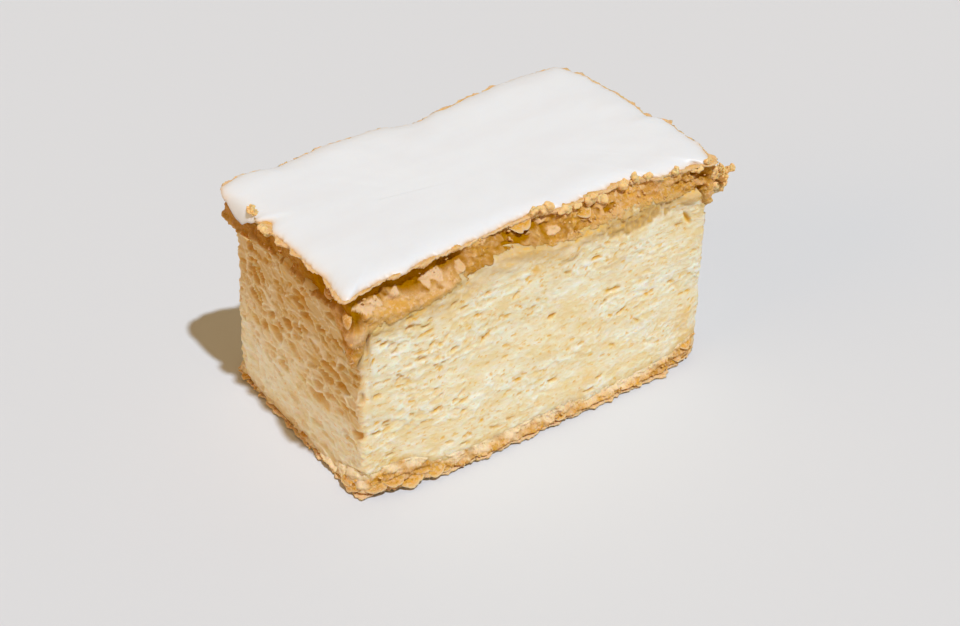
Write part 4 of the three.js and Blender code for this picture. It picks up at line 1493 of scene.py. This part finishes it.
# ---- Icing ----
# The rings of the icing: (distance in from the edge, share of the way from its floor to its top).
ICING_RINGS = [
    (7, -0.2),
    (1.2, -0.2),
    (0.3, -0.12),
    (0, 0.04),
    (0.06, 0.2),
    (0.3, 0.34),
    (0.7, 0.46),
    (1.3, 0.58),
    (2, 0.7),
    (3, 0.81),
    (4.2, 0.9),
    (5.6, 0.96),
    (7.2, 0.99),
    *((inward, 1.0) for inward in (8.8, 10.5, 13, 16.5, 20, 24, 28)),
]


class SLICE_OT_icing(bpy.types.Operator):
    """Makes the sheet of white icing, with its soft rolled edge"""

    bl_idname = "slice.icing"
    bl_label = "Icing"

    def execute(self, context):
        size = sizes()
        outline = Outline(front=320, right=170, back=260, left=200, corner=8)
        top = size["height"]
        floor = top - size["icing_thickness"]
        edge = layer_edge(outline, ICING_SIDES, floor)
        sag = outline.spread(DRIP) * (1 + 0.2 * rough(edge, 2.2, 47)) + 0.12 * rough(edge, 1.2, 48)
        # Where it is thick enough to hang down, the edge is smooth and white.
        still = np.exp(-np.clip(sag - 0.4, 0, 4))
        net, thin = [], []
        for inward, level in ICING_RINGS:
            flat = drawn_in(outline, edge, inward)
            spots = np.concatenate([flat, np.zeros((len(flat), 1))], -1)
            ragged = 0.5 * rough(spots, 3.4, 41) + 0.4 * rough(spots, 1.5, 42) + 0.25 * rough(spots, 0.7, 46)
            flat = flat + outline.out * (ragged * still * math.exp(-((inward / 1.6) ** 2)))[:, None]
            swell = 0.3 * rough(spots, 24, 43) + 0.16 * rough(spots, 9, 44) + 0.08 * rough(spots, 3.5, 45)
            height = mix(floor, top - 0.3 + swell, level) - sag * math.exp(-inward / 1.1)
            net.append(np.concatenate([flat, height[:, None]], -1))
            clear = 0.85 * math.exp(-inward / 0.6) * still * (1 + 0.5 * rough(spots, 2.0, 49))
            thin.append(np.clip(clear, 0, 1))
        net, thin = np.array(net), np.array(thin)
        net[..., 2] = np.minimum(net[..., 2], top + 0.3)
        piece = lay_nets("icing_sheet", [(net, {"thin": thin})], sugar_icing())
        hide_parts("icing")
        return {"FINISHED"}


# ---- Stage ----
# How far the floor goes each way in mm.
FLOOR_HALF = 1500.0
# The camera, in the frame: what it points at on the floor in mm, its angles in degrees, its distance in mm
# and its lens and sensor in mm.
CAMERA_TARGET = (12.19, 16.29, 0.0)
CAMERA_AZIMUTH = -34.33
CAMERA_ELEVATION = 35.6
CAMERA_ROLL = -0.91
CAMERA_DISTANCE = 469.6
CAMERA_LENS = 62.76
CAMERA_SENSOR = 36.0


def place_camera():
    turn, rise, roll = np.radians([CAMERA_AZIMUTH, CAMERA_ELEVATION, CAMERA_ROLL])
    back = Vector((math.sin(turn) * math.cos(rise), -math.cos(turn) * math.cos(rise), math.sin(rise)))
    right = Vector((math.cos(turn), math.sin(turn), 0.0))
    up = back.cross(right)
    across = right * math.cos(roll) + up * math.sin(roll)
    upward = up * math.cos(roll) - right * math.sin(roll)
    data = bpy.data.cameras.new("camera")
    data.lens = CAMERA_LENS
    data.sensor_width = CAMERA_SENSOR
    data.clip_start, data.clip_end = 0.01, 10.0
    camera = add_object("camera", data)
    spot = (Vector(CAMERA_TARGET) + back * CAMERA_DISTANCE) * MM
    camera.matrix_world = Matrix.Translation(spot) @ Matrix((across, upward, back)).transposed().to_4x4()
    bpy.context.scene.camera = camera


def sun_lamp(name, towards, strength, shade, softness):
    """A distant lamp that stands in the direction towards. softness is the angle of its disc in degrees."""
    data = bpy.data.lights.new(name, "SUN")
    data.energy = strength
    data.color = linear(shade)[:3]
    data.angle = math.radians(softness)
    lamp = add_object(name, data)
    lamp.rotation_mode = "QUATERNION"
    lamp.rotation_quaternion = Vector(towards).to_track_quat("Z", "Y")


class SLICE_OT_stage(bpy.types.Operator):
    """Makes the floor, the lights and the camera"""

    bl_idname = "slice.stage"
    bl_label = "Stage"

    def execute(self, context):
        bm = bmesh.new()
        bmesh.ops.create_grid(bm, x_segments=4, y_segments=4, size=FLOOR_HALF * MM)
        mesh = mesh_from("floor", bm)
        mesh.materials.append(matt_board())
        floor = add_object("floor", mesh)
        world = bpy.data.worlds.new("studio")
        context.scene.world = world
        world.use_nodes = True
        world.node_tree.nodes.clear()
        sky = add(world.node_tree, "Background", {"Color": (1.0, 0.74, 0.42, 1.0), "Strength": 0.36})
        add(world.node_tree, "OutputWorld", {"Surface": sky.outputs[0]})
        sun_lamp("key", (3, -27, 58), 2.95, "#e2f0ff", 2.0)
        sun_lamp("fill", (-1, 0.15, 0.35), 0.56, "#ffc46a", 40.0)
        context.scene.view_settings.view_transform = "Standard"
        place_camera()
        return {"FINISHED"}


class SLICE_PT_panel(bpy.types.Panel):
    """Lists the pieces and their settings"""

    bl_label = "Mille Feuille"
    bl_idname = "SLICE_PT_panel"
    bl_space_type = "VIEW_3D"
    bl_region_type = "UI"
    bl_category = "Mille Feuille"

    def draw(self, context):
        layout = self.layout
        for group in (context.scene.slice_sizes, context.scene.slice_colours):
            box = layout.box()
            for name in type(group).__annotations__:
                box.prop(group, name)
        for operator in OPERATORS:
            layout.operator(operator.bl_idname)


GROUPS = (SliceSizes, SliceColours)
OPERATORS = (SLICE_OT_stage, SLICE_OT_cream, SLICE_OT_base_pastry, SLICE_OT_top_pastry, SLICE_OT_icing)
CLASSES = (*GROUPS, *OPERATORS, SLICE_PT_panel)


def register():
    for cls in CLASSES:
        bpy.utils.register_class(cls)
    bpy.types.Scene.slice_sizes = bpy.props.PointerProperty(type=SliceSizes)
    bpy.types.Scene.slice_colours = bpy.props.PointerProperty(type=SliceColours)


def unregister():
    del bpy.types.Scene.slice_sizes
    del bpy.types.Scene.slice_colours
    for cls in reversed(CLASSES):
        bpy.utils.unregister_class(cls)


def main():
    register()
    bpy.ops.slice.stage()
    bpy.ops.slice.cream()
    bpy.ops.slice.base_pastry()
    bpy.ops.slice.top_pastry()
    bpy.ops.slice.icing()


if __name__ == "__main__":
    main()
